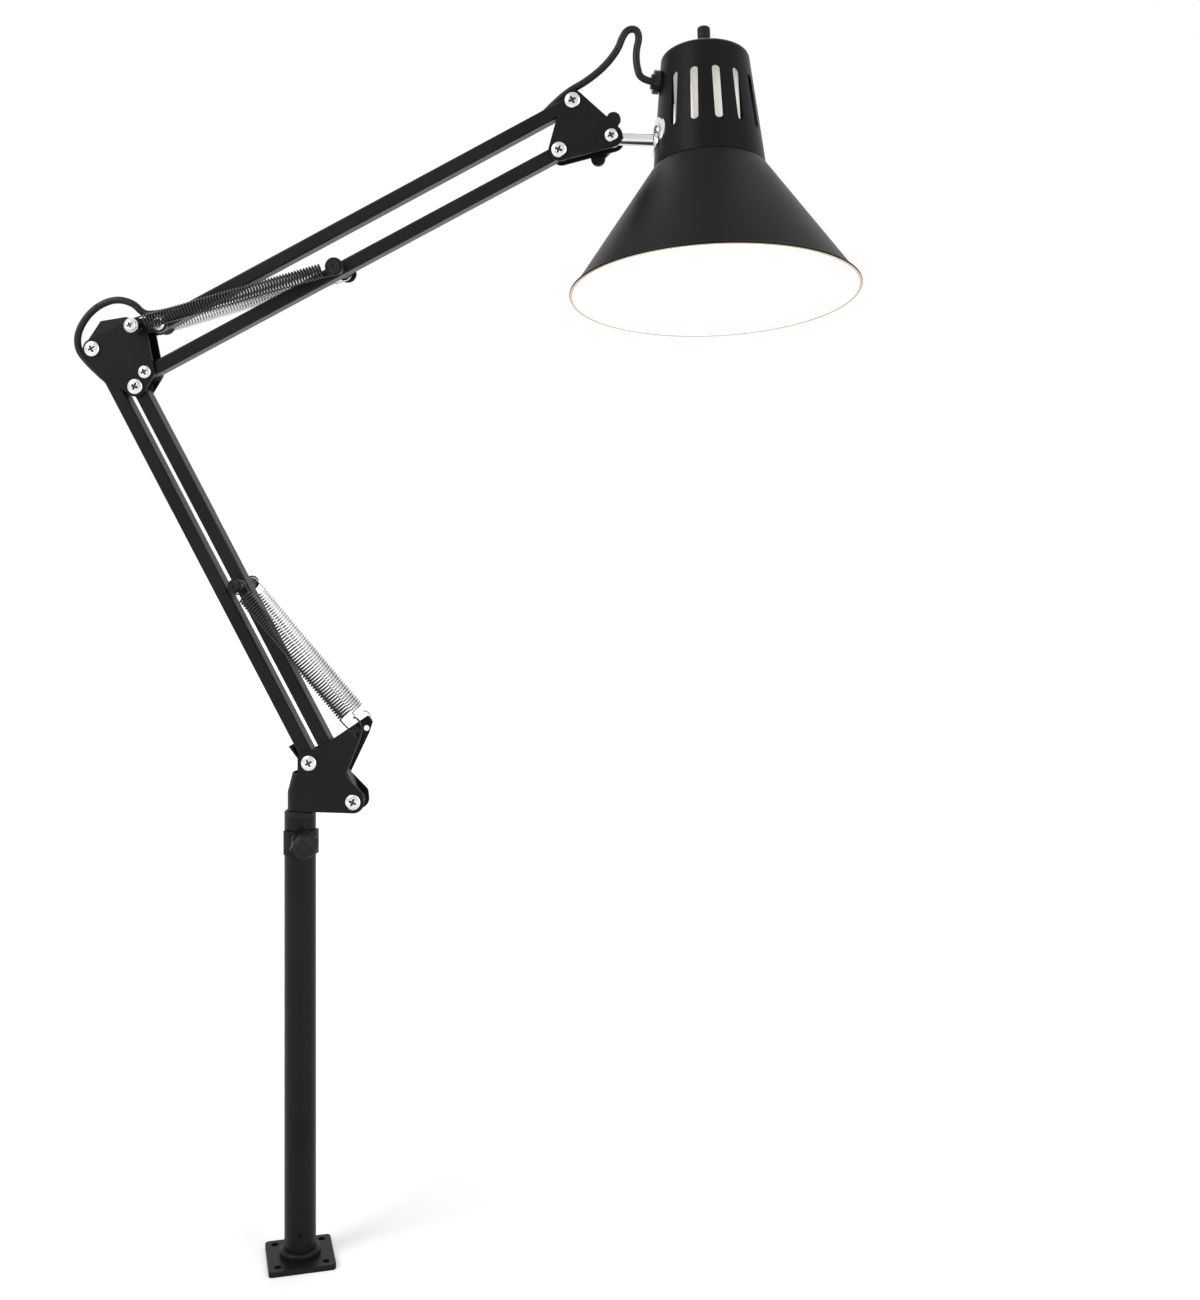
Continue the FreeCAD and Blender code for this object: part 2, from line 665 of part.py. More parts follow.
def socket_housing():
    z0, z1 = -housing_below, housing_above
    top_in = housing_r(z1) - housing_edge_r
    def edge_profile(inset):
        r0 = housing_r(z0) - inset
        r1 = housing_r(z1 - housing_edge_r) - inset
        corner = housing_edge_r - inset
        centre_r = r1 - corner
        centre_z = z1 - housing_edge_r
        mid = math.radians(45)
        return r0, r1, centre_r, centre_z, corner, mid
    ro0, ro1, rc, zc, corner, mid = edge_profile(0)
    ri0, ri1, ric, zic, icorner, imid = edge_profile(shell)
    edges = [
        Part.LineSegment(V(ro0, 0, z0), V(ro1, 0, zc)).toShape(),
        Part.Arc(V(ro1, 0, zc), V(rc + corner * math.cos(mid), 0, zc + corner * math.sin(mid)),
                 V(rc, 0, zc + corner)).toShape(),
        Part.LineSegment(V(rc, 0, zc + corner), V(0, 0, z1)).toShape(),
        Part.LineSegment(V(0, 0, z1), V(0, 0, z1 - shell)).toShape(),
        Part.LineSegment(V(0, 0, z1 - shell), V(ric, 0, zic + icorner)).toShape(),
        Part.Arc(V(ric, 0, zic + icorner), V(ric + icorner * math.cos(imid), 0, zic + icorner * math.sin(imid)),
                 V(ri1, 0, zic)).toShape(),
        Part.LineSegment(V(ri1, 0, zic), V(ri0, 0, z0)).toShape(),
        Part.LineSegment(V(ri0, 0, z0), V(ro0, 0, z0)).toShape(),
    ]
    body = Part.Face(Part.Wire(edges)).revolve(V(0, 0, 0), V(0, 0, 1), 360)
    half = slot_width / 2
    for i in range(slot_count):
        yaw = (i - (slot_count - 1) / 2) * slot_pitch
        reach = housing_mid_r + 6
        box = Part.makeBox(reach, slot_width, slot_high - slot_low - slot_width, V(0, -half, slot_low + half))
        ends = [Part.makeCylinder(half, reach, V(0, 0, z), V(1, 0, 0))
                for z in (slot_low + half, slot_high - half)]
        cutter = box.fuse(ends)
        cutter.rotate(V(0, 0, 0), V(0, 0, 1), yaw)
        body = body.cut(cutter)
    body = body.cut(Part.makeCylinder(ferrule_r - 1.0, 10, V(0, 0, z1 - 5)))
    body = body.cut(grommet_cylinder(grommet_r - 2.0, 12))
    return body.cut(saddle_holes())


def grommet_cylinder(radius, reach):
    """Cylinder square to the housing wall at the grommet, reach each way."""
    r = housing_r(grommet_height)
    body = Part.makeCylinder(radius, 2 * reach, V(-reach, 0, 0), V(1, 0, 0))
    body.rotate(V(0, 0, 0), V(0, 1, 0), housing_taper)
    body.translate(V(-r, 0, grommet_height))
    body.rotate(V(0, 0, 0), V(0, 0, 1), grommet_angle)
    return body


def lead_grommet():
    """Flanged rubber grommet: outer flange, waist in the wall, inner flange."""
    def disc(radius, x0, x1):
        return Part.makeCylinder(radius, x1 - x0, V(x0, 0, 0), V(1, 0, 0))
    waist = grommet_r - 2.1
    body = disc(grommet_r, -grommet_proud, -0.35).fuse([disc(waist, -0.5, shell + 1.6),
                                                       disc(grommet_r - 1.4, shell + 1.2, shell + 2.6),
                                                       disc(grommet_r - 2.6, -grommet_proud - 1.4, -grommet_proud)])
    body = body.cut(disc(lead_r + 0.1, -20, 20))
    body.rotate(V(0, 0, 0), V(0, 1, 0), housing_taper)
    body.translate(V(-housing_r(grommet_height), 0, grommet_height))
    body.rotate(V(0, 0, 0), V(0, 0, 1), grommet_angle)
    return body.removeSplitter()


def shade_cone():
    z_seam = -housing_below
    r_seam = housing_r(z_seam)
    r_neck = r_seam - shell - 0.1
    r_rim = rim_r - lip_r
    z_rim = -rim_drop
    inset = neck_height * math.tan(math.radians(housing_taper))
    inner = r_rim - shell
    points = [(r_seam, z_seam - 0.05), (r_rim + lip_r, z_rim), (r_rim, z_rim - lip_r), (inner, z_rim),
              (r_seam - shell - 0.6, z_seam - 1.2), (r_neck - shell, z_seam - 0.4),
              (r_neck - shell - inset, z_seam + neck_height), (r_neck - inset, z_seam + neck_height),
              (r_neck, z_seam - 0.05), (r_seam, z_seam - 0.05)]
    edges = []
    for a, b in zip(points, points[1:]):
        if a == (r_rim + lip_r, z_rim):
            half = lip_r * math.sqrt(0.5)
            middle = V(r_rim + half, 0, z_rim - half)
            edges.append(Part.Arc(V(a[0], 0, a[1]), middle, V(b[0], 0, b[1])).toShape())
        else:
            edges.append(Part.LineSegment(V(a[0], 0, a[1]), V(b[0], 0, b[1])).toShape())
    return Part.Face(Part.Wire(edges)).revolve(V(0, 0, 0), V(0, 0, 1), 360)


def saddle_plate():
    """Wide oval plate curved to the housing wall under the stem's end."""
    r = housing_mid_r + saddle_seat
    slope = math.tan(math.radians(housing_taper))

    def cone(extra):
        high = saddle_height
        return Part.makeCone(r + extra + high * slope, r + extra - high * slope, 2 * high, V(0, 0, -high))
    end_r = saddle_height / 2
    side = saddle_width / 2 - end_r
    oval = Part.Face(hull_wire([(-side, 0, end_r), (side, 0, end_r)])).extrude(V(0, 2 * r, 0))
    oval.rotate(V(0, 0, 0), V(0, 0, 1), 90)
    plate = cone(saddle_thick).cut(cone(0)).common(oval)
    return plate.cut(saddle_holes())


def saddle_holes():
    """Cutters for the two screws that hold the saddle plate."""
    hole = Part.makeCylinder(saddle_hole_r, 14, V(-housing_mid_r - 9, 0, 0), V(1, 0, 0))
    other = hole.copy()
    hole.rotate(V(0, 0, 0), V(0, 0, 1), saddle_screw_angle)
    other.rotate(V(0, 0, 0), V(0, 0, 1), -saddle_screw_angle)
    return [hole, other]


def saddle_screws():
    """Slotted screws through the saddle plate into the housing wall."""
    seat = housing_mid_r + saddle_seat + saddle_thick + saddle_seat
    screws = []
    for angle in (saddle_screw_angle, -saddle_screw_angle):
        head = Part.makeCylinder(saddle_head_r, saddle_head_height, V(0, 0, 0), V(-1, 0, 0))
        slot = Part.makeBox(saddle_head_height, 0.8, 4 * saddle_head_r,
                            V(-1.5 * saddle_head_height, -0.4, -2 * saddle_head_r))
        slot.rotate(V(0, 0, 0), V(1, 0, 0), 35)
        shank = Part.makeCylinder(saddle_screw_r, saddle_thick + shell + 1.4, V(0, 0, 0), V(1, 0, 0))
        screw = head.cut(slot).fuse(shank)
        screw.rotate(V(0, 0, 0), V(0, 1, 0), housing_taper)
        screw.translate(V(-seat - saddle_head_r * math.tan(math.radians(housing_taper)) / 2, 0, 0))
        screw.rotate(V(0, 0, 0), V(0, 0, 1), angle)
        screws.append(screw)
    return group(screws)


# ---- socket, bulb and switch ----
def lamp_socket():
    top = housing_above - shell - socket_base
    low = top - socket_length
    profile = [(socket_r - socket_wall, low), (socket_r, low), (socket_r, top - 3), (socket_r - 3, top),
               (3.2, top), (3.2, top - 6), (socket_r - socket_wall, top - 6)]
    return turned(profile)


def socket_stud():
    """Threaded neck that carries the socket from the housing's crown."""
    top = housing_above - shell
    low = top - socket_base
    body = Part.makeCylinder(6.5, socket_base, V(0, 0, low))
    return body.cut(Part.makeCylinder(2.4, socket_base + 2, V(0, 0, low - 1)))


def screw_shell():
    """Brass sleeve with rolled thread ridges inside the socket."""
    top = housing_above - shell - socket_base - 6
    length = 26.0
    low = top - length
    outer = [(screw_shell_r + (0.35 if i % 2 else 0.0), low + 2 + i * thread_pitch / 2) for i in range(13)]
    points = [(screw_shell_r, low)] + outer + [(screw_shell_r, top - 0.05)]
    inner = [(r - screw_shell_wall, z) for r, z in reversed(points)]
    return turned(points + inner)


def socket_contact():
    top = housing_above - shell - socket_base - 6
    return Part.makeCone(5.0, 3.6, 2.2, V(0, 0, top - 2.25))


def bulb_parts():
    """Screw base, white body and globe of the lamp bulb on the shade axis."""
    tip = housing_above - shell - socket_base - 6 - 2.3
    thread_low = tip - 26.0
    crests = 6
    side = [(thread_r, thread_low)]
    for i in range(crests):
        z = thread_low + 2.0 + i * thread_pitch
        side += [(thread_r - 0.7, z), (thread_r, z + thread_pitch / 2)]
    side += [(9.5, tip - 1.6), (4.6, tip - 1.0), (4.6, tip), (0, tip), (0, thread_low)]
    base = turned(side)
    globe_z = -globe_drop
    join_r = 26.5
    join_z = globe_z + math.sqrt(bulb_globe_r ** 2 - join_r ** 2)
    collar_z = thread_low - 0.05
    curve = Part.BSplineCurve()
    curve.interpolate(Points=[V(bulb_neck_r, 0, collar_z - 4), V(17.4, 0, (collar_z + join_z) / 2 - 2),
                              V(join_r, 0, join_z)],
                      InitialTangent=V(0, 0, -1), FinalTangent=V(0.5, 0, -1))
    edges = [
        Part.LineSegment(V(0, 0, collar_z), V(thread_r - 0.4, 0, collar_z)).toShape(),
        Part.LineSegment(V(thread_r - 0.4, 0, collar_z), V(bulb_neck_r, 0, collar_z - 1.6)).toShape(),
        Part.LineSegment(V(bulb_neck_r, 0, collar_z - 1.6), V(bulb_neck_r, 0, collar_z - 4)).toShape(),
        curve.toShape(),
        Part.LineSegment(V(join_r, 0, join_z), V(0, 0, join_z)).toShape(),
        Part.LineSegment(V(0, 0, join_z), V(0, 0, collar_z)).toShape(),
    ]
    body = Part.Face(Part.Wire(edges)).revolve(V(0, 0, 0), V(0, 0, 1), 360)
    ball = Part.makeSphere(bulb_globe_r, V(0, 0, globe_z))
    keep = Part.makeCylinder(bulb_globe_r + 5, 2 * bulb_globe_r, V(0, 0, join_z - 0.05 - 2 * bulb_globe_r))
    return base, body, ball.common(keep)


def switch_ferrule():
    body = Part.makeCylinder(ferrule_r, ferrule_height, V(0, 0, housing_above + 0.02))
    rims = [e for e in body.Edges if e.BoundBox.ZMin > housing_above + ferrule_height - 0.5]
    body = body.makeFillet(0.7, rims)
    stem = Part.makeCylinder(ferrule_r - 1.1, 1.0, V(0, 0, housing_above - shell + 0.05))
    return body.fuse(stem).cut(Part.makeCylinder(1.9, 20, V(0, 0, housing_above - 5))).removeSplitter()


def switch_knob():
    """Ribbed turn knob with its shaft down into the socket's switch."""
    low = housing_above + ferrule_height + 0.3
    body = Part.makeCylinder(switch_knob_r, switch_knob_height, V(0, 0, low))
    rims = [e for e in body.Edges if e.BoundBox.ZMin > low + switch_knob_height - 0.1]
    body = body.makeFillet(1.0, rims)
    for i in range(10):
        a = math.radians(36 * i)
        groove = Part.makeCylinder(0.45, switch_knob_height - 3,
                                   V(switch_knob_r * math.cos(a), switch_knob_r * math.sin(a), low + 1.5))
        body = body.cut(groove)
    shaft_low = housing_above - shell - socket_base - 4
    shaft = Part.makeCylinder(1.8, low - shaft_low + 0.5, V(0, 0, shaft_low))
    return body.fuse(shaft).removeSplitter()


# ---- springs ----
def biarc(p0, t0, p1, t1):
    """Two arcs that leave p0 along t0 and reach p1 along t1."""
    chord = p1 - p0
    total = t0 + t1
    a = total.dot(total) - 4
    b = -2 * chord.dot(total)
    c = chord.dot(chord)
    d = (-b - math.sqrt(b * b - 4 * a * c)) / (2 * a)
    joint = (p0 + t0 * d + p1 - t1 * d) * 0.5
    return [arc_to(p0, p0 + t0 * d, joint), arc_to(joint, p1 - t1 * d, p1)]


def arc_to(start, corner, end):
    """Arc from start to end whose end tangents meet at corner."""
    chord_mid = (start + end) * 0.5
    half_chord = (end - start).Length / 2
    rise = (corner - chord_mid).Length
    half_turn = math.atan2(rise, half_chord)
    share = math.tan(half_turn / 2) / math.tan(half_turn)
    middle = chord_mid + (corner - chord_mid) * share
    return Part.Arc(start, middle, end).toShape()


def spring(a, b, y, grip_a, grip_b):
    """Open-coil tension spring between two posts, a hook loop on each end.

    grip is the radius of the post that each loop sits on."""
    u = (at(b) - at(a)).normalize()
    v = V(-u.z, 0, u.x)
    w = V(0, 1, 0)
    origin = at(a, y)
    span = (at(b) - at(a)).Length
    inner = coil_r - wire_r
    loop_a = inner - grip_a - hook_gap
    loop_b = span - (inner - grip_b - hook_gap)
    start = loop_a + coil_r + hook_bend_r + 1.6
    finish = loop_b - coil_r - hook_bend_r - 1.6
    pitch = (finish - start) / spring_turns
    lead = math.atan2(pitch, 2 * math.pi * coil_r)
    def local(s, radial, side):
        return origin + u * s + v * radial + w * side
    bend = math.pi / 2 - lead
    shift = hook_bend_r * (1 - math.cos(bend))
    rise = hook_bend_r * math.sin(bend)
    edges = []
    # first loop, walked from its free tip to the coil
    plane = -shift
    tip_turn = math.radians(235)
    def near_point(turn):
        return local(loop_a - coil_r * math.sin(turn), coil_r * math.cos(turn), plane)
    straight = 2 * wire_r
    back = u * -math.cos(tip_turn) - v * math.sin(tip_turn)
    edges.append(Part.LineSegment(near_point(tip_turn) + back * straight, near_point(tip_turn)).toShape())
    for t0, t1 in ((tip_turn, tip_turn / 2), (tip_turn / 2, 0)):
        edges.append(Part.Arc(near_point(t0), near_point((t0 + t1) / 2), near_point(t1)).toShape())
    neck_end = local(start - rise, coil_r, plane)
    edges.append(Part.LineSegment(local(loop_a, coil_r, plane), neck_end).toShape())
    edges.append(arc_to(neck_end, local(start - rise + hook_bend_r * math.tan(bend / 2), coil_r, plane),
                        local(start, coil_r, 0)))
    # the coil, in half turns
    def coil_point(turn):
        angle = 2 * math.pi * turn
        return local(start + pitch * turn, coil_r * math.cos(angle), coil_r * math.sin(angle))
    def coil_tangent(turn):
        angle = 2 * math.pi * turn
        around = v * (-math.sin(angle)) + w * math.cos(angle)
        return (around * math.cos(lead) + u * math.sin(lead)).normalize()
    for i in range(round(2 * spring_turns)):
        t0, t1 = i / 2, (i + 1) / 2
        edges += biarc(coil_point(t0), coil_tangent(t0), coil_point(t1), coil_tangent(t1))
    # second loop, from the coil's other side to its free tip, in the first loop's plane
    def far_point(turn):
        return local(loop_b + coil_r * math.sin(turn), -coil_r * math.cos(turn), plane)
    neck_start = local(finish + rise, -coil_r, plane)
    corner = local(finish + rise - hook_bend_r * math.tan(bend / 2), -coil_r, plane)
    edges.append(arc_to(local(finish, -coil_r, 0), corner, neck_start))
    edges.append(Part.LineSegment(neck_start, far_point(0)).toShape())
    for t0, t1 in ((0, tip_turn / 2), (tip_turn / 2, tip_turn)):
        edges.append(Part.Arc(far_point(t0), far_point((t0 + t1) / 2), far_point(t1)).toShape())
    out = u * math.cos(tip_turn) + v * math.sin(tip_turn)
    edges.append(Part.LineSegment(far_point(tip_turn), far_point(tip_turn) + out * straight).toShape())
    path = Part.Wire(edges)
    return sweep(path, wire_r), edges


def sweep(path, radius):
    """Round tube along a tangent-continuous wire."""
    first = path.OrderedEdges[0]
    start = first.valueAt(first.FirstParameter)
    along_dir = first.tangentAt(first.FirstParameter)
    if (start - path.OrderedVertexes[0].Point).Length > 1e-6:
        start = first.valueAt(first.LastParameter)
        along_dir = first.tangentAt(first.LastParameter) * -1
    circle = Part.Wire(Part.makeCircle(radius, start, along_dir))
    return path.makePipeShell([circle], True, False)


def least_gap(edges, radius):
    """Least free gap of a wound tube to itself, measured on points."""
    points = []
    travelled = []
    run = 0.0
    for edge in edges:
        steps = 5
        for point in edge.discretize(steps)[:-1]:
            points.append(point)
            travelled.append(run)
            run += edge.Length / (steps - 1)
    least = 1e9
    for i in range(0, len(points), 2):
        for j in range(i + 1, len(points)):
            if travelled[j] - travelled[i] > 6 * radius + 4:
                least = min(least, (points[i] - points[j]).Length)
                if travelled[j] - travelled[i] > 80:
                    break
    return least - 2 * radius


# ---- lead ----
def lead_path(points, name):
    """Straight runs joined by tangent arcs, each 0.45 of its shorter run."""
    edges = []
    radii = []
    last = points[0]
    for i in range(1, len(points) - 1):
        p = points[i]
        before = points[i - 1] - p
        after = points[i + 1] - p
        turn = math.pi - before.getAngle(after)
        reach = 0.45 * min(before.Length, after.Length)
        radii.append(reach / math.tan(turn / 2))
        start = p + before.normalize() * reach
        end = p + after.normalize() * reach
        edges.append(Part.LineSegment(last, start).toShape())
        edges.append(arc_to(start, p, end))
        last = end
    edges.append(Part.LineSegment(last, points[-1]).toShape())
    path = Part.Wire(edges)
    print(name, "length %.1f" % path.Length, "radii", ["%.1f" % r for r in radii])
    tube = sweep(path, lead_r)
    print("   volume over section times length %.4f" % (tube.Volume / (math.pi * lead_r ** 2 * path.Length)))
    return tube


def elbow_route():
    """Lead route at the elbow, from inside the top bar to the lower left bar."""
    plan = [along(pivot_p5, upper_angle, lead_inside + 8), along(pivot_p5, upper_angle, lead_inside),
            along(pivot_p5, upper_angle, 12, 4.6), along(pivot_p5, upper_angle, 0, 7.8), (-98.2, 576.2),
            (-104.6, 583.4), (-117.0, 586.0), (-130.5, 579.6), (-139.6, 567.0), (-140.2, 555.6),
            (-134.2, 547.6), along(pivot_p1, lower_angle, -17, 4.6), along(pivot_p1, lower_angle, -lead_inside - 1),
            along(pivot_p1, lower_angle, -lead_inside - 9)]
    return [at(p) for p in plan]


def head_route():
    """Lead route at the head, from inside the top bar into the grommet's bore."""
    plan = [(along(pivot_q1, upper_angle, -lead_inside - 9), 0), (along(pivot_q1, upper_angle, -lead_inside - 1), 0),
            (along(pivot_q1, upper_angle, -13, 4.6), 0),
            (along(pivot_q1, upper_angle, 0, 8.0), 0), ((175.0, 713.6), 0), ((186.0, 722.2), 0),
            ((194.0, 732.2), 0), ((196.6, 739.6), 0.4), ((199.9, 744.7), 0.8), ((205.2, 744.9), 1.2),
            ((207.0, 739.8), 1.6), ((204.9, 732.2), 2.2)]
    ends = [grommet_point(6.0), grommet_point(-3.5)]
    middle = (at((204.9, 732.2), 2.2) + ends[0]) * 0.5 - V(1.2, 0, 0)
    return [at(p, y) for p, y in plan] + [middle] + ends


def grommet_point(reach):
    """Point on the grommet's axis, reach outside its mouth."""
    r = housing_r(grommet_height)
    t = math.radians(housing_taper)
    out = grommet_proud + 1.4 + reach
    x, z = -r - out * math.cos(t), grommet_height + out * math.sin(t)
    a = math.radians(grommet_angle)
    return place_point(x * math.cos(a), x * math.sin(a), z)


def straight_lead(p, q):
    direction = at(q) - at(p)
    return Part.makeCylinder(lead_r, direction.Length, at(p), direction)


# ---- assembly ----
os.makedirs("parts", exist_ok=True)
nodes = {}

nodes["base_plate"] = base_plate()
nodes["foot_ring"] = foot_ring()
nodes["pole_tube"] = pole_tube()
nodes["pole_bush"] = top_bush()
nodes["clamp_boss"] = clamp_boss()
nodes["clamp_knob"] = clamp_knob()
nodes["clamp_screw"] = clamp_screw()
nodes["swivel_spigot"] = swivel_spigot()
nodes["base_bracket"] = base_bracket()

screws, nuts, washers = pivot_set([pivot_a, pivot_b], base_gap, [screw_head_r] * 2)
nodes["bracket_screws"] = group(screws)
nodes["bracket_nuts"] = group(nuts)
nodes["bracket_washers"] = group(washers)

left_bar = arm_bar(pivot_a, lower_angle, lower_length)
nodes["lower_left_bar"] = left_bar.cut(wall_slot(pivot_p1, lower_angle, -29, -7, 1))
right_bar = arm_bar(pivot_b, lower_angle, lower_length)
open_bore = rod(pivot_p4, pivot_screw_r + 0.25, -bar_depth, bar_depth)
pin_bore = rod(lower_pin, pin_r + 0.02, -bar_depth, bar_depth)
nodes["lower_right_bar"] = right_bar.cut(open_bore).cut(pin_bore)


def spring_pin(p):
    end = pin_stand + pin_knob_height - 1.0
    return rod(p, pin_r, -end, end)


def pin_knobs(p, radius):
    """Two domed retaining knobs and their collars on a spring pin."""
    y0 = pin_stand
    knob = Part.makeCone(radius, radius * 0.72, pin_knob_height, at(p, y0), V(0, 1, 0))
    flange = rod(p, radius + 0.4, y0, y0 + 1.0)
    dimple = rod(p, 0.8, y0 + pin_knob_height - 0.7, y0 + pin_knob_height + 1)
    knob = knob.fuse(flange).cut(dimple).cut(rod(p, pin_r + 0.02, y0 - 1, y0 + pin_knob_height - 1.0))
    collar = ring(p, pin_r + 1.6, pin_r + 0.02, bar_face + 0.02, pin_groove)
    return group([knob, collar, mirror_y(knob), mirror_y(collar)])


nodes["lower_spring_pin"] = spring_pin(lower_pin)
nodes["lower_pin_knobs"] = pin_knobs(lower_pin, lower_knob_r)

front_plate = elbow_plate()
nodes["elbow_front_plate"] = front_plate
nodes["elbow_rear_plate"] = mirror_y(front_plate)
screws, nuts, washers = pivot_set([pivot_p1, pivot_p4, pivot_p3, pivot_p5], elbow_gap,
                                  [screw_head_r, screw_head_r, small_head_r, small_head_r])
nodes["elbow_screws"] = group(screws[:2])
nodes["elbow_small_screw"] = screws[2]
nodes["elbow_rivet"] = rivet(pivot_p5, elbow_gap / 2 + sheet)
elbow_nuts = nuts[:3]
nodes["elbow_washers"] = group(washers)

anchor_face = elbow_gap / 2 + sheet
anchor_seat = pin_stand + 1.0
nodes["anchor_bolt"] = pan_screw(anchor, -anchor_seat, anchor_seat + nut_height, small_head_r - 0.5, pin_r)
nodes["elbow_nuts"] = group(elbow_nuts + [lock_nut(anchor, anchor_seat, pin_r)])
outer_sleeve = ring(anchor, anchor_sleeve_r, pin_r + 0.03, anchor_face, pin_groove)
inner_sleeve = ring(anchor, anchor_sleeve_r, pin_r + 0.03, -elbow_gap / 2, elbow_gap / 2)
nodes["anchor_sleeves"] = group([inner_sleeve, outer_sleeve, mirror_y(outer_sleeve)])
anchor_disc = ring(anchor, small_head_r + 0.4, pin_r + 0.03, pin_stand, anchor_seat)
nodes["anchor_rings"] = group([anchor_disc, mirror_y(anchor_disc)])

bottom_bar = arm_bar(pivot_p3, upper_angle, upper_length)
bottom_bar = bottom_bar.cut(rod(upper_pin, pin_r + 0.02, -bar_depth, bar_depth))
nodes["upper_bottom_bar"] = bottom_bar.cut(rod(pivot_q2, pivot_screw_r + 0.25, -bar_depth, bar_depth))
top_bar = arm_bar(pivot_p5, upper_angle, upper_length)
top_bar = top_bar.cut(wall_slot(pivot_p5, upper_angle, 0, 27, 1))
nodes["upper_top_bar"] = top_bar.cut(wall_slot(pivot_q1, upper_angle, -28, -4, 1))
nodes["upper_spring_pin"] = spring_pin(upper_pin)
nodes["upper_pin_knobs"] = pin_knobs(upper_pin, upper_knob_r)

front_plate = head_plate()
nodes["head_front_plate"] = front_plate
nodes["head_rear_plate"] = mirror_y(front_plate)
screws, nuts, washers = pivot_set([pivot_q1, pivot_q2], head_gap, [screw_head_r] * 2)
nodes["head_screws"] = group(screws)
nodes["head_nuts"] = group(nuts)
head_washers = washers
tilt_seat = head_gap / 2 + sheet + tilt_boss_rise
nodes["tilt_bolt"] = pan_screw(pivot_q3, -tilt_seat, tilt_seat + wing_hub_height + 1.2, small_head_r, pivot_screw_r)
tilt_washer = ring(pivot_q3, eye_r, bore_r, head_gap / 2 - 0.55, head_gap / 2)
nodes["head_washers"] = group(head_washers + [tilt_washer, mirror_y(tilt_washer)])
nodes["wing_nut"] = wing_nut()
nodes["head_stem"] = head_stem()

nodes["saddle_screws"] = place_shade(saddle_screws())
nodes["saddle_plate"] = place_shade(saddle_plate())
nodes["socket_housing"] = place_shade(socket_housing())
nodes["shade_cone"] = place_shade(shade_cone())
nodes["lead_grommet"] = place_shade(lead_grommet())
nodes["switch_ferrule"] = place_shade(switch_ferrule())
nodes["switch_knob"] = place_shade(switch_knob())
nodes["lamp_socket"] = place_shade(lamp_socket())
nodes["socket_stud"] = place_shade(socket_stud())
nodes["screw_shell"] = place_shade(screw_shell())
nodes["socket_contact"] = place_shade(socket_contact())
bulb_base, bulb_body, bulb_globe = bulb_parts()
nodes["bulb_base"] = place_shade(bulb_base)
nodes["bulb_body"] = place_shade(bulb_body)
nodes["bulb_globe"] = place_shade(bulb_globe)

for name, a, b, grip_a, grip_b in (
        ("lower_spring", lower_pin, spring_hook, pin_r, peg_r),
        ("upper_spring", anchor, upper_pin, pin_r, pin_r)):
    tube, wire_edges = spring(a, b, -spring_offset, grip_a, grip_b)
    print(name, "least gap to itself %.2f" % least_gap(wire_edges, wire_r), "valid", tube.isValid())
    nodes[name + "_front"] = tube
    nodes[name + "_rear"] = mirror_y(tube)

elbow_points = elbow_route()
head_points = head_route()
nodes["lead_elbow_loop"] = lead_path(elbow_points, "lead_elbow_loop")
nodes["lead_head_loop"] = lead_path(head_points, "lead_head_loop")
nodes["lead_upper_bar"] = straight_lead(along(pivot_p5, upper_angle, lead_inside + 8.1),
                                        along(pivot_q1, upper_angle, -lead_inside - 9.1))
nodes["lead_lower_bar"] = straight_lead(along(pivot_p1, lower_angle, -lead_inside - 9.1),
                                        along(pivot_a, lower_angle, 9))

for name, shape in nodes.items():
    shape.exportStep("parts/%s.step" % name)
    solids = len(shape.Solids)
    if not shape.isValid() or solids == 0:
        print("CHECK", name, "valid", shape.isValid(), "solids", solids)

for label, p in (("a", pivot_a), ("b", pivot_b), ("p1", pivot_p1), ("p3", pivot_p3), ("p4", pivot_p4),
                 ("p5", pivot_p5), ("q1", pivot_q1), ("q2", pivot_q2), ("q3", pivot_q3), ("anchor", anchor),
                 ("lower_pin", lower_pin), ("upper_pin", upper_pin), ("hook", spring_hook), ("wall", wall_point)):
    print("pivot", label, "%.4f %.4f" % p)
print("nodes", len(nodes))
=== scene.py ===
import bpy, bmesh, json, math
import numpy as np
from mathutils import Matrix, Vector


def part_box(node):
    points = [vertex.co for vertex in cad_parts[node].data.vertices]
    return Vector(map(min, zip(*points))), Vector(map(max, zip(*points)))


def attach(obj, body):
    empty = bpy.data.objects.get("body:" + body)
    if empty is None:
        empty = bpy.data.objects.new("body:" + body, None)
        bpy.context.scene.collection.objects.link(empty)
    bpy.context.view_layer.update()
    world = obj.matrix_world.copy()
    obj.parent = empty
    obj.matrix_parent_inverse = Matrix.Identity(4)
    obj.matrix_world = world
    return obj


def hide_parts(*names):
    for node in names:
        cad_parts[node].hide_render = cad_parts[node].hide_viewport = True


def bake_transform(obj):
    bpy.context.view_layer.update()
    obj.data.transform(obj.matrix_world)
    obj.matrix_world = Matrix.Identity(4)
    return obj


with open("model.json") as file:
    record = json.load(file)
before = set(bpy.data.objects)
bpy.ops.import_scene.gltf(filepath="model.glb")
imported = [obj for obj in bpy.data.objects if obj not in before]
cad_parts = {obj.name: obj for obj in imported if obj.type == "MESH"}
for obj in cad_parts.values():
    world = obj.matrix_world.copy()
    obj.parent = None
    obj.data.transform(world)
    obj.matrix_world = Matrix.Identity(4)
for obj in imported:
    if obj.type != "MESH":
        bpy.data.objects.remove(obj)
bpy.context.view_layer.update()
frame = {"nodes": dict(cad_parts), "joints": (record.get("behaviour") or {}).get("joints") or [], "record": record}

NODES = frame["nodes"]
JOINTS = {j["name"]: j for j in frame["joints"]}
FULL = 2 * math.pi

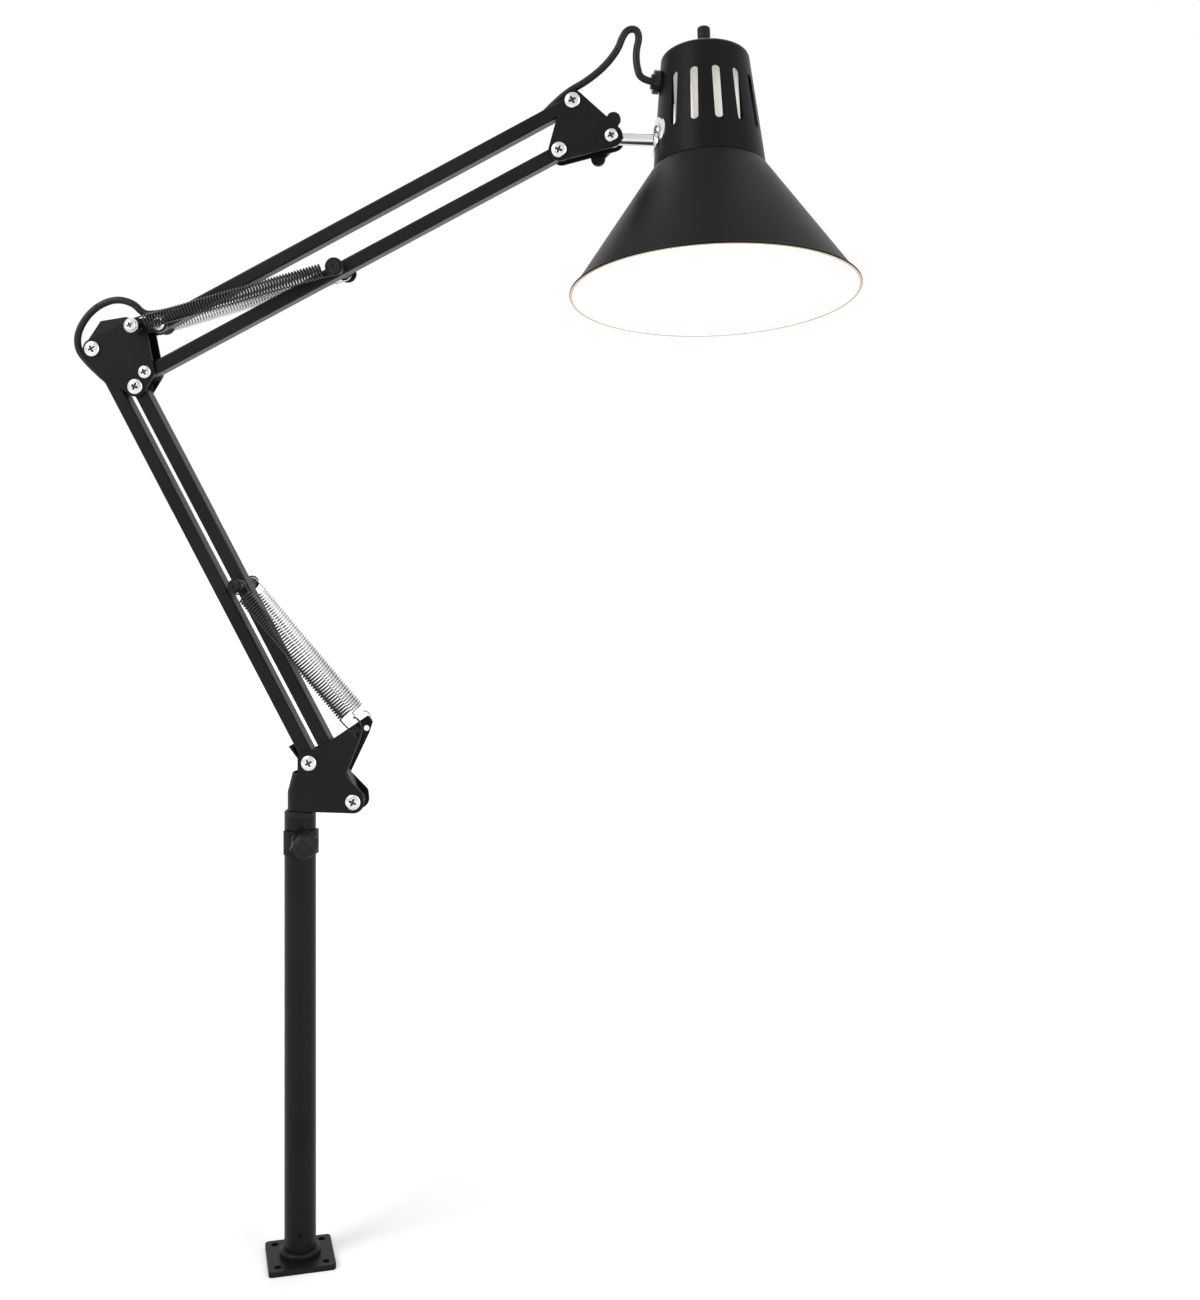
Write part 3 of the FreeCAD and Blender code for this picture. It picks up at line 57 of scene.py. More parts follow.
# ---------------------------------------------------------------- materials
GIVEN = (("Dark", "NodeSocketColor"), ("Light", "NodeSocketColor"),
         ("Patch Scale", "NodeSocketFloat"), ("Grain Scale", "NodeSocketFloat"),
         ("Rough Low", "NodeSocketFloat"), ("Rough High", "NodeSocketFloat"))
RESULTS = (("Color", "NodeSocketColor"), ("Roughness", "NodeSocketFloat"), ("Height", "NodeSocketFloat"))
NOISE_LOW, NOISE_HIGH = 0.35, 0.65
RELIEF_DEPTH = 0.0003


def new_noise(nodes, links, vector, scale, detail):
    """Noise texture on a vector socket with its scale read from another socket."""
    tex = nodes.new("ShaderNodeTexNoise")
    tex.inputs["Detail"].default_value = detail
    links.new(vector, tex.inputs["Vector"])
    links.new(scale, tex.inputs["Scale"])
    return tex.outputs["Fac"]


def finish_group():
    """Shared finish: broad patches between two colours, and fine grain for roughness and height."""
    group = bpy.data.node_groups.new("surface_finish", "ShaderNodeTree")
    for name, kind in GIVEN:
        group.interface.new_socket(name, in_out="INPUT", socket_type=kind)
    for name, kind in RESULTS:
        group.interface.new_socket(name, in_out="OUTPUT", socket_type=kind)
    nodes, links = group.nodes, group.links
    given, result = nodes.new("NodeGroupInput"), nodes.new("NodeGroupOutput")
    place = nodes.new("ShaderNodeTexCoord").outputs["Object"]
    patches = new_noise(nodes, links, place, given.outputs["Patch Scale"], 4.0)
    grain = new_noise(nodes, links, place, given.outputs["Grain Scale"], 2.0)
    share = nodes.new("ShaderNodeMapRange")
    share.inputs["From Min"].default_value, share.inputs["From Max"].default_value = NOISE_LOW, NOISE_HIGH
    links.new(patches, share.inputs["Value"])
    mix = nodes.new("ShaderNodeMix")
    mix.data_type = "RGBA"
    # its factor is socket 0, its two colours are sockets 6 and 7, and the mixed colour is output 2
    links.new(share.outputs["Result"], mix.inputs[0])
    links.new(given.outputs["Dark"], mix.inputs[6])
    links.new(given.outputs["Light"], mix.inputs[7])
    rough = nodes.new("ShaderNodeMapRange")
    rough.inputs["From Min"].default_value, rough.inputs["From Max"].default_value = NOISE_LOW, NOISE_HIGH
    links.new(grain, rough.inputs["Value"])
    links.new(given.outputs["Rough Low"], rough.inputs["To Min"])
    links.new(given.outputs["Rough High"], rough.inputs["To Max"])
    links.new(mix.outputs[2], result.inputs["Color"])
    links.new(rough.outputs["Result"], result.inputs["Roughness"])
    links.new(grain, result.inputs["Height"])
    return group


FINISH_GROUP = finish_group()


def surface(name, dark, light, rough, spread=0.08, metal=0.0, grain=900.0, bump=0.04, patch=18.0,
            specular=0.5, coat=0.0, glow=None, glow_strength=0.0):
    """Painted, moulded or plated surface from the shared finish with its own values."""
    material = bpy.data.materials.new(name)
    material.use_nodes = True
    nodes, links = material.node_tree.nodes, material.node_tree.links
    shader = nodes["Principled BSDF"]
    finish = nodes.new("ShaderNodeGroup")
    finish.node_tree = FINISH_GROUP
    values = (*dark, 1), (*light, 1), patch, grain, rough - spread, rough + spread
    for (socket, _), value in zip(GIVEN, values):
        finish.inputs[socket].default_value = value
    relief = nodes.new("ShaderNodeBump")
    relief.inputs["Strength"].default_value = bump
    relief.inputs["Distance"].default_value = RELIEF_DEPTH
    links.new(finish.outputs["Color"], shader.inputs["Base Color"])
    links.new(finish.outputs["Roughness"], shader.inputs["Roughness"])
    links.new(finish.outputs["Height"], relief.inputs["Height"])
    links.new(relief.outputs["Normal"], shader.inputs["Normal"])
    shader.inputs["Metallic"].default_value = metal
    shader.inputs["Specular IOR Level"].default_value = specular
    shader.inputs["Coat Weight"].default_value = coat
    if glow:
        shader.inputs["Emission Color"].default_value = (*glow, 1)
        shader.inputs["Emission Strength"].default_value = glow_strength
    return material


BLACK = surface("black powder coat", (0.004, 0.004, 0.0043), (0.007, 0.007, 0.0076), 0.40, 0.07,
                grain=1500, bump=0.10, specular=0.13)
BARS = surface("black bar enamel", (0.004, 0.004, 0.0043), (0.008, 0.008, 0.0086), 0.34, 0.06,
               grain=1100, bump=0.08, specular=0.14)
SHADE = surface("shade enamel", (0.004, 0.004, 0.0043), (0.006, 0.006, 0.0066), 0.38, 0.05,
                grain=2200, bump=0.06, specular=0.08)
PLASTIC = surface("black moulded plastic", (0.005, 0.005, 0.0053), (0.009, 0.009, 0.0096), 0.44, 0.06,
                  grain=2600, bump=0.14, specular=0.18)
CORD = surface("cord jacket", (0.005, 0.005, 0.005), (0.009, 0.009, 0.009), 0.34, 0.06,
               grain=900, bump=0.10, specular=0.22)
CHROME = surface("plated screw", (0.60, 0.60, 0.61), (0.78, 0.78, 0.79), 0.18, 0.06, metal=1.0,
                 grain=700, bump=0.03)
# painted shade: a dark plated grey put in the screw heads' cross recesses, where shade falls
RECESS_PAINTED_SHADE = surface("shadowed recess", (0.05, 0.05, 0.052), (0.11, 0.11, 0.115), 0.42, 0.08, metal=1.0,
                 grain=900, bump=0.04)
TUBE_CHROME = surface("chrome tube", (0.62, 0.63, 0.65), (0.72, 0.73, 0.75), 0.09, 0.03, metal=1.0,
                      grain=400, bump=0.01)
ZINC = surface("dark zinc", (0.16, 0.16, 0.17), (0.28, 0.28, 0.29), 0.35, 0.08, metal=1.0,
               grain=800, bump=0.05)
SPRING = surface("spring wire", (0.42, 0.42, 0.43), (0.62, 0.62, 0.63), 0.24, 0.06, metal=1.0,
                 grain=1200, bump=0.05)
SPRING_DARK = surface("blackened wire", (0.006, 0.006, 0.0065), (0.018, 0.018, 0.019), 0.26, 0.06,
                      metal=0.3, grain=1200, bump=0.05, specular=0.5)
# the reflector's white enamel is its own colour, its glow is painted light; the rim's tan colour and warm glow are
# a painted warm highlight along the lip
REFLECTOR_PAINTED_GLOW = surface("white reflector enamel with painted glow", (0.86, 0.85, 0.82), (0.90, 0.89, 0.86), 0.5, 0.05,
                     grain=900, bump=0.02, glow=(1.0, 0.985, 0.95), glow_strength=0.8)
RIM_PAINTED_GLOW = surface("rim enamel with painted warm glow", (0.46, 0.35, 0.24), (0.52, 0.40, 0.28), 0.5, 0.05,
                  grain=900, bump=0.02, glow=(1.0, 0.84, 0.62), glow_strength=0.10)
# cream is the socket's own colour; its glow is painted light standing in for the bulb's light on it
CREAM_PAINTED_GLOW = surface("cream porcelain with painted glow", (0.74, 0.71, 0.62), (0.80, 0.77, 0.69), 0.25, 0.05, grain=500,
                bump=0.03, coat=0.4, glow=(1.0, 0.96, 0.88), glow_strength=0.45)
BRASS = surface("bare brass", (0.55, 0.38, 0.15), (0.70, 0.50, 0.22), 0.28, 0.07, metal=1.0, bump=0.04)
NICKEL = surface("nickel cap", (0.42, 0.40, 0.36), (0.55, 0.53, 0.48), 0.30, 0.08, metal=1.0, bump=0.05)
# the bulb body's white is its own colour; its glow is painted light
BULB_WHITE_PAINTED_GLOW = surface("bulb body with painted glow", (0.85, 0.85, 0.83), (0.90, 0.90, 0.88), 0.4, 0.05, bump=0.02,
                     glow=(1.0, 0.97, 0.90), glow_strength=0.35)
GLOBE = surface("lit frosted globe", (0.95, 0.92, 0.84), (0.97, 0.95, 0.88), 0.5, 0.05, grain=600,
                bump=0.01, glow=(1.0, 0.95, 0.82), glow_strength=2.5)

FINISH = {
    "black_metal": BLACK, "black_shade": SHADE, "black_plastic": PLASTIC, "bolt_chrome": CHROME,
    "stem_chrome": TUBE_CHROME, "zinc_steel": ZINC, "spring_steel": SPRING, "cord_black": CORD,
    "socket_cream": CREAM_PAINTED_GLOW, "socket_brass": BRASS, "cap_nickel": NICKEL, "bulb_white": BULB_WHITE_PAINTED_GLOW,
    "bulb_globe": GLOBE,
}
ARM_BARS = ("lower_left_bar", "lower_right_bar", "upper_bottom_bar", "upper_top_bar")

for part in frame["record"]["subparts"]:
    node = part["node"]
    NODES[node].data.materials.clear()
    NODES[node].data.materials.append(BARS if node in ARM_BARS else FINISH[part["material_slot"]])


# ---------------------------------------------------------------- mesh helpers
def piece(name, verts, faces, materials, smooth=True):
    """A mesh at the origin from a vertex array and a list of face arrays."""
    mesh = bpy.data.meshes.new(name)
    mesh.from_pydata(np.asarray(verts).tolist(), [], sum((f.tolist() for f in faces), []))
    obj = bpy.data.objects.new(name, mesh)
    bpy.context.scene.collection.objects.link(obj)
    for material in materials:
        mesh.materials.append(material)
    mesh.polygons.foreach_set("use_smooth", np.full(len(mesh.polygons), smooth))
    mesh.update()
    return obj


def grid_faces(rows, cols):
    """Quads of a grid of rows by cols vertices, closed round its columns."""
    r, c = np.meshgrid(np.arange(rows - 1), np.arange(cols), indexing="ij")
    n = (c + 1) % cols
    return np.stack([r * cols + c, r * cols + n, (r + 1) * cols + n, (r + 1) * cols + c], -1).reshape(-1, 4)


def lathe(profile, sides):
    """Turned surface: x = r cos a, y = r sin a, z = height, for each profile point and angle."""
    profile = np.asarray(profile, float)
    a = np.arange(sides) * FULL / sides
    r, z = profile[:, :1], profile[:, 1:]
    verts = np.stack([r * np.cos(a), r * np.sin(a), z + 0 * a], -1).reshape(-1, 3)
    return verts, grid_faces(len(profile), sides)


def arc_points(cx, cz, r, a0, a1, n):
    """Points on a circle between two angles in degrees."""
    t = np.radians(np.linspace(a0, a1, n))
    return np.stack([cx + r * np.cos(t), cz + r * np.sin(t)], -1)


def tube(path, reference, section):
    """Section carried along a path: point + n s + b u, with n the reference made square to the tangent."""
    path = np.asarray(path, float)
    tangent = np.gradient(path, axis=0)
    tangent /= np.linalg.norm(tangent, axis=1, keepdims=True)
    n = reference - tangent * np.sum(tangent * reference, axis=1, keepdims=True)
    n /= np.linalg.norm(n, axis=1, keepdims=True)
    b = np.cross(tangent, n)
    s, u = np.asarray(section).T
    verts = path[:, None] + n[:, None] * s[None, :, None] + b[:, None] * u[None, :, None]
    rows, cols = len(path), len(s)
    ends = [np.arange(cols)[None, ::-1], (rows - 1) * cols + np.arange(cols)[None]]
    return verts.reshape(-1, 3), [grid_faces(rows, cols)] + ends


def round_section(diameter, n):
    """Closed circle: radius times cos t and sin t."""
    t = np.arange(n) * FULL / n
    return np.stack([diameter / 2 * np.cos(t), diameter / 2 * np.sin(t)], -1)


def moved(verts, matrix):
    """Vertices turned and shifted by a matrix."""
    return np.asarray(verts) @ np.array(matrix.to_3x3()).T + np.array(matrix.translation)


def outward(obj, sharp=40.0):
    """Doubles merged, faces turned to point out of the closed mesh, edges past an angle kept sharp."""
    bm = bmesh.new()
    bm.from_mesh(obj.data)
    bmesh.ops.remove_doubles(bm, verts=bm.verts, dist=1e-7)
    bmesh.ops.recalc_face_normals(bm, faces=bm.faces)
    bm.to_mesh(obj.data)
    bm.free()
    obj.data.set_sharp_from_angle(angle=math.radians(sharp))
    return obj


def belongs(obj, body, node):
    """The finished piece rides a body and stands for a node, which is hidden."""
    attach(obj, body)
    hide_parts(node)


# ---------------------------------------------------------------- shade
WALL = Vector(JOINTS["shade_swivel"]["pos_m"])
STEM_DIR = Vector(JOINTS["shade_swivel"]["axis"]).normalized()
MID_R = 0.0315
TAPER = math.tan(math.radians(5.6))
SHEET = 0.0008
SEAM_Z, TOP_Z, TOP_ROUND = -0.0203, 0.052, 0.004
RIM_Z, RIM_R, LIP_R = -0.0973, 0.0843, 0.0011
SHADE_TURN, SHADE_TILT = -11.5, -2.4
LAP, NECK_STEP, NECK_RISE = 0.0016, 0.0024, 0.006
CONE_SIDES, HOUSING_SIDES = 160, 176
SHADE_PLACE = (Matrix.Translation(WALL) @ Matrix.Rotation(math.radians(SHADE_TURN), 4, STEM_DIR)
               @ Matrix.Rotation(math.radians(SHADE_TILT), 4, "Y") @ Matrix.Translation((MID_R, 0, 0)))


def housing_r(z):
    """Outside radius of the socket housing at a height."""
    return MID_R - z * TAPER


def cone_shade():
    """Cone with its neck and rolled lip as one turned wall, black outside and white inside with a painted glow."""
    seam_r = housing_r(SEAM_Z)
    t = np.linspace(0.02, 0.985, 24)[:, None]
    flank = np.array([[seam_r, SEAM_Z]]) + t * np.array([[RIM_R - seam_r, RIM_Z - SEAM_Z]])
    shoulder = np.array([[seam_r - LAP, SEAM_Z + 0.0002], [seam_r - 0.0002, SEAM_Z - 0.00012],
                         [seam_r + 0.0004, SEAM_Z - 0.0007]])
    outer = np.concatenate([shoulder, flank])
    lip = arc_points(RIM_R, RIM_Z, LIP_R, 70, -215, 20)
    inner = outer[::-1][:-3] - (SHEET, 0)
    neck = np.array([[seam_r - NECK_STEP, SEAM_Z - 0.0006], [seam_r - NECK_STEP, SEAM_Z + NECK_RISE],
                     [seam_r - LAP, SEAM_Z + NECK_RISE], outer[0]])
    verts, faces = lathe(np.concatenate([outer, lip, inner, neck]), CONE_SIDES)
    cone = piece("cone_shade_finished", moved(verts, SHADE_PLACE), [faces], [SHADE, REFLECTOR_PAINTED_GLOW, RIM_PAINTED_GLOW])
    row = np.arange(len(faces)) // CONE_SIDES
    # rows of faces from the shoulder on: black outside, lip with a painted warm glow, white inside with a painted
    # glow, black neck
    lip_start, inside_start = len(outer) + 7, len(outer) + len(lip) - 5
    inside_end = len(outer) + len(lip) + len(inner)
    kind = np.select([row < lip_start, row < inside_start, row < inside_end], [0, 2, 1], 0)
    cone.data.polygons.foreach_set("material_index", kind.astype(np.int32))
    belongs(outward(cone), "shade", "shade_cone")


def vent_tool(count=11, pitch=26.2, width=0.0046, low=-0.0015, high=0.033, n=9):
    """Upright prisms with round ends, one for each vent, from inside the housing to outside it."""
    half = width / 2
    t = np.linspace(0, math.pi, n)
    side = np.concatenate([half * np.cos(t), -half * np.cos(t)])
    height = np.concatenate([high - half + half * np.sin(t), low + half - half * np.sin(t)])
    k = 2 * n
    yaw = np.radians((np.arange(count) - (count - 1) / 2) * pitch)[:, None, None]
    reach = np.array([0.020, 0.045])[None, :, None]
    x = reach * np.cos(yaw) - side * np.sin(yaw)
    y = reach * np.sin(yaw) + side * np.cos(yaw)
    verts = np.stack([x, y, np.broadcast_to(height, x.shape)], -1).reshape(-1, 3)
    j = np.arange(k)
    n_j = (j + 1) % k
    first = (np.arange(count) * 2 * k)[:, None, None]
    walls = (first + np.stack([j, n_j, k + n_j, k + j], -1)).reshape(-1, 4)
    caps = np.concatenate([first[:, 0] + j, first[:, 0] + k + j[::-1]])
    return outward(piece("vent_tool", verts, [walls, caps], [SHADE], smooth=False))


def housing():
    """Vented socket housing: a tapered turned wall with a rounded top, its vents cut through."""
    edge_r = housing_r(TOP_Z - TOP_ROUND)
    z = np.linspace(SEAM_Z, TOP_Z - TOP_ROUND - 0.0005, 14)
    hole, crown = 0.0034, 0.018
    outer = np.concatenate([np.stack([housing_r(z), z], -1),
                            arc_points(edge_r - TOP_ROUND, TOP_Z - TOP_ROUND, TOP_ROUND, 5, 88, 9),
                            [[crown, TOP_Z - 0.00002], [crown / 2, TOP_Z], [hole, TOP_Z]]])
    inner = np.concatenate([[[hole, TOP_Z - SHEET], [crown, TOP_Z - SHEET]],
                            arc_points(edge_r - TOP_ROUND, TOP_Z - TOP_ROUND, TOP_ROUND - SHEET, 88, 5, 7),
                            np.stack([housing_r(z) - SHEET, z], -1)[::-1]])
    verts, faces = lathe(np.concatenate([outer, inner, outer[:1]]), HOUSING_SIDES)
    shell = outward(piece("housing_shell", verts, [faces], [SHADE]))
    tool = vent_tool()
    cut = shell.modifiers.new("vents", "BOOLEAN")
    cut.operation, cut.object, cut.solver = "DIFFERENCE", tool, "EXACT"
    evaluated = shell.evaluated_get(bpy.context.evaluated_depsgraph_get())
    mesh = bpy.data.meshes.new_from_object(evaluated)
    shell.modifiers.clear()
    shell.data = mesh
    bpy.data.objects.remove(tool)
    mesh.transform(SHADE_PLACE)
    mesh.polygons.foreach_set("use_smooth", np.full(len(mesh.polygons), True))
    mesh.set_sharp_from_angle(angle=math.radians(35))
    mesh.update()
    belongs(shell, "shade", "socket_housing")


cone_shade()
housing()


# ---------------------------------------------------------------- screws
THREAD_START, THREAD_LENGTH, THREAD_ROWS, THREAD_ROOT = 0.006, 0.0055, 22, 0.90
SHANK_END = 0.0062
# shares of the head's radius, then shares of its height
CROSS_HALF, CROSS_REACH = 0.105, 0.54
SHOULDER, CROSS_DEPTH = 0.42, 0.45
# faces sunk deeper than this share of the cross's depth take the painted recess shade
RECESS_SHADE_SHARE = 0.55


def screw_rows(head_r, height, length, shank_r, turn, sides=80, rings=46):
    """Pan head screw along +Y: the dome falls inside a cross, then rim, seat, shank and thread rows.

    Dome height is s + (H - s) sqrt(1 - (0.985 t)^2.4) at radius share t."""
    shoulder = height * SHOULDER
    half, reach = head_r * CROSS_HALF, head_r * CROSS_REACH
    t = np.linspace(0, 1, rings)[:, None]
    a = np.arange(sides)[None] * FULL / sides
    x, z = head_r * t * np.cos(a), head_r * t * np.sin(a)
    c, s = math.cos(turn), math.sin(turn)
    u, w = np.abs(x * c + z * s), np.abs(z * c - x * s)

    def arm(p, q):
        return np.clip((half * 1.5 - q) / (half * 0.8), 0, 1) * np.clip((reach - p) / (reach * 0.3), 0, 1)

    sunk = np.maximum(arm(u, w), arm(w, u))
    dome = shoulder + (height - shoulder) * np.sqrt(1 - (0.985 * t) ** 2.4)
    head = np.stack([x, sunk * height * CROSS_DEPTH - dome, z], -1)
    ridge = np.arange(THREAD_ROWS)
    thread = length - THREAD_START + THREAD_LENGTH * ridge / THREAD_ROWS
    crest = np.where(ridge % 2, THREAD_ROOT, 1.0) * shank_r
    rows = np.concatenate([[[head_r, -shoulder * 0.5], [head_r * 0.985, -0.00005], [head_r * 0.97, 0.0],
                            [shank_r, 0.0], [shank_r, length - SHANK_END]], np.stack([crest, thread], -1),
                           [[shank_r * 0.8, length], [0.0, length]]])
    r, y = rows[:, :1], rows[:, 1:]
    rest = np.stack([r * np.cos(a), y + 0 * a, r * np.sin(a)], -1)
    grid = np.concatenate([head, rest])
    # material 1 on the faces deep in the cross: painted shade
    kind = np.zeros((len(grid) - 1, sides), np.int32)
    kind[:rings - 1] = (sunk[:-1] + sunk[1:]) / 2 > RECESS_SHADE_SHARE
    return grid.reshape(-1, 3), grid_faces(len(grid), sides), kind.reshape(-1)


def screw_set(node, body, centres, head_r, seat, tip, shank_r, height=0.0025):
    """The finished screws that stand for one node."""
    verts, faces, recess_shade_marks = [], [], []
    first = 0
    for i, c in enumerate(centres):
        v, f, k = screw_rows(head_r, height, tip - seat, shank_r, math.radians(28 + 41 * i))
        verts.append(v + (c[0], seat, c[2]))
        faces.append(f + first)
        recess_shade_marks.append(k)
        first += len(v)
    # second material: painted shade in the cross recesses
    screws = piece(node + "_finished", np.concatenate(verts), faces, [CHROME, RECESS_PAINTED_SHADE])
    screws.data.polygons.foreach_set("material_index", np.concatenate(recess_shade_marks))
    belongs(outward(screws, 60.0), body, node)


def pivot(*names):
    """Points of the named joints."""
    return [Vector(JOINTS[n]["pos_m"]) for n in names]


def centre_of(node):
    """Middle of a node's box."""
    low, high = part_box(node)
    return (Vector(low) + Vector(high)) / 2


# points that carry no joint of their own, in metres
LOWER_RIGHT_TOP = Vector((-0.1000469, 0, 0.5313039))
UPPER_BOTTOM_END = Vector((0.1595089, 0, 0.6713373))
SPRING_HOOK = Vector((0.0378, 0, 0.3262))
ANCHOR = centre_of("anchor_bolt")
SCREW_HEAD, SMALL_HEAD, SHANK = 0.0047, 0.0040, 0.0025

# seat and tip of each screw along Y, in metres: the fork and head plates, then the wider elbow
NARROW = (-0.00755, 0.01235, SHANK)
WIDE = (-0.0082, 0.0130, SHANK)

screw_set("bracket_screws", "swivel", pivot("lower_swing", "lower_follow"), SCREW_HEAD, *NARROW)
screw_set("elbow_screws", "elbow", pivot("elbow_follow") + [LOWER_RIGHT_TOP], SCREW_HEAD, *WIDE)
screw_set("elbow_small_screw", "elbow", pivot("upper_swing"), SMALL_HEAD, *WIDE)
screw_set("head_screws", "head", pivot("head_follow") + [UPPER_BOTTOM_END], SCREW_HEAD, *NARROW)
screw_set("tilt_bolt", "tilt", pivot("head_tilt"), SMALL_HEAD, -0.00805, 0.01525, SHANK)
screw_set("anchor_bolt", "elbow", [ANCHOR], 0.0035, -0.01794, 0.02194, 0.0020)


# ---------------------------------------------------------------- springs
COIL, WIRE, BEND = 0.00415, 0.0005, 0.0013
HOOK_GAP, HOOK_STRAIGHT = 0.0003, 0.0016
LOOP_TURN = math.radians(235)
TURN_STEPS, LOOP_STEPS, HOOK_STEPS = 14, 26, 6
SPRING_SIDE = 0.015
PIN_GRIP, PEG_GRIP = 0.002, 0.0012


def spring_path(a, b, y, grip_a, grip_b, turns):
    """Centreline and radial direction of a close-wound spring with both end loops in one plane.

    Loops are circles in the plane BEND from the coil's axis, on the side of the arm's middle plane.
    The coil is a circle carried along its axis, and straight hooks join coil and loops with a
    smooth step sideways."""
    a, b = np.array((a[0], y, a[2])), np.array((b[0], y, b[2]))
    span = np.linalg.norm(b - a)
    along = (b - a) / span
    frame_axes = np.stack([along, (-along[2], 0, along[0]), (0, math.copysign(1, -y), 0)])
    near = COIL - WIRE - grip_a - HOOK_GAP
    far = span - (COIL - WIRE - grip_b - HOOK_GAP)
    start, end = near + COIL + BEND + HOOK_STRAIGHT, far - COIL - BEND - HOOK_STRAIGHT
    t = np.linspace(LOOP_TURN, 0, LOOP_STEPS)
    flat, level = np.zeros(LOOP_STEPS), np.zeros(HOOK_STEPS)
    loop_a = np.stack([near - COIL * np.sin(t), COIL * np.cos(t), flat + BEND], -1)
    turn_a = np.stack([-np.sin(t), np.cos(t), flat], -1)
    e = np.linspace(0, 1, HOOK_STEPS + 2)[1:-1]
    ease = e * e * (3 - 2 * e)
    hook_a = np.stack([near + (start - near) * e, level + COIL, BEND * (1 - ease)], -1)
    hook_b = np.stack([end + (far - end) * e, level - COIL, BEND * ease], -1)
    side = np.zeros((HOOK_STEPS, 3))
    w = np.arange(round(turns * TURN_STEPS) + 1) / TURN_STEPS * FULL
    coil = np.stack([start + (end - start) * w / w[-1], COIL * np.cos(w), -COIL * np.sin(w)], -1)
    turn_w = np.stack([0 * w, np.cos(w), -np.sin(w)], -1)
    t = t[::-1]
    loop_b = np.stack([far + COIL * np.sin(t), -COIL * np.cos(t), flat + BEND], -1)
    turn_b = np.stack([np.sin(t), -np.cos(t), flat], -1)
    path = np.concatenate([loop_a, hook_a, coil, hook_b, loop_b])
    radial = np.concatenate([turn_a, side + (0, 1, 0), turn_w, side + (0, -1, 0), turn_b])
    return a + path @ frame_axes, radial @ frame_axes


def make_spring(node, a, b, grips, turns):
    """Wound spring between two posts."""
    y = -SPRING_SIDE if node.endswith("front") else SPRING_SIDE
    path, radial = spring_path(a, b, y, *grips, turns)
    verts, faces = tube(path, radial, round_section(2 * WIRE, 8))
    material = SPRING_DARK if node.endswith("front") else SPRING
    spring = piece(node + "_wound", verts, faces, [material])
    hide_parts(node)
    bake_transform(spring)


LOWER_PIN, UPPER_PIN = centre_of("lower_spring_pin"), centre_of("upper_spring_pin")
for side in ("front", "rear"):
    make_spring("lower_spring_" + side, LOWER_PIN, SPRING_HOOK, (PIN_GRIP, PEG_GRIP),
                52.5)
    make_spring("upper_spring_" + side, ANCHOR, UPPER_PIN, (PIN_GRIP, PIN_GRIP),
                60.5)


# ---------------------------------------------------------------- lead
LEAD_D = 0.0044
MILLIMETRE = 0.001
# route points in millimetres
ELBOW_ROUTE = ((-54.92, 0, 585.56), (-62.02, 0, 581.88), (-77.46, 0, 579.08), (-89.59, 0, 576.41),
               (-98.2, 0, 576.2), (-104.6, 0, 583.4), (-117.0, 0, 586.0), (-130.5, 0, 579.6),
               (-139.6, 0, 567.0), (-140.2, 0, 555.6), (-134.2, 0, 547.6), (-123.1, 0, 537.32),
               (-113.85, 0, 529.79), (-110.07, 0, 522.74))
HEAD_ROUTE = ((135.61, 0, 684.11), (142.71, 0, 687.78), (153.92, 0, 698.76), (163.91, 0, 707.75),
              (175.0, 0, 713.6), (186.0, 0, 722.2), (194.0, 0, 732.2), (196.6, 0.4, 739.6),
              (199.9, 0.8, 744.7), (205.2, 1.2, 744.9), (207.0, 1.6, 739.8), (204.9, 2.2, 732.2),
              (205.23, 1.2, 722.96), (207.96, 0.21, 713.73), (217.28, 1.81, 712.86))


def route_line(name, points):
    """Points along a NURBS curve of order 3 through the lead's control points."""
    curve = bpy.data.curves.new(name, "CURVE")
    curve.dimensions = "3D"
    spline = curve.splines.new("NURBS")
    spline.points.add(len(points) - 1)
    rows = np.array(points) * MILLIMETRE
    spline.points.foreach_set("co", np.concatenate([rows, np.ones((len(rows), 1))], 1).ravel())
    spline.order_u = 3
    spline.use_endpoint_u = True
    spline.resolution_u = 14
    obj = bpy.data.objects.new(name, curve)
    bpy.context.scene.collection.objects.link(obj)
    mesh = bpy.data.meshes.new_from_object(obj.evaluated_get(bpy.context.evaluated_depsgraph_get()))
    line = np.empty(3 * len(mesh.vertices))
    mesh.vertices.foreach_get("co", line)
    bpy.data.objects.remove(obj)
    return line.reshape(-1, 3)


def lead(node, points, shares):
    """The lead as tubes end to end, cut at the given shares of its length."""
    line = route_line(node + "_route", points)
    run = np.concatenate([[0], np.cumsum(np.linalg.norm(np.diff(line, axis=0), axis=1))])
    marks = np.searchsorted(run, run[-1] * np.array((0, *shares, 1))).tolist()
    section = round_section(LEAD_D, 20)
    for i, (m0, m1) in enumerate(zip(marks, marks[1:])):
        part = line[m0:m1 + 1]
        verts, faces = tube(part, np.zeros_like(part) + (0, 1, 0), section)
        jacket = piece("%s_jacket_%d" % (node, i), verts, faces, [CORD])
        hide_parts(node)
        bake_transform(jacket)


lead("lead_elbow_loop", ELBOW_ROUTE, (0.5,))
lead("lead_head_loop", HEAD_ROUTE, (0.36, 0.68))

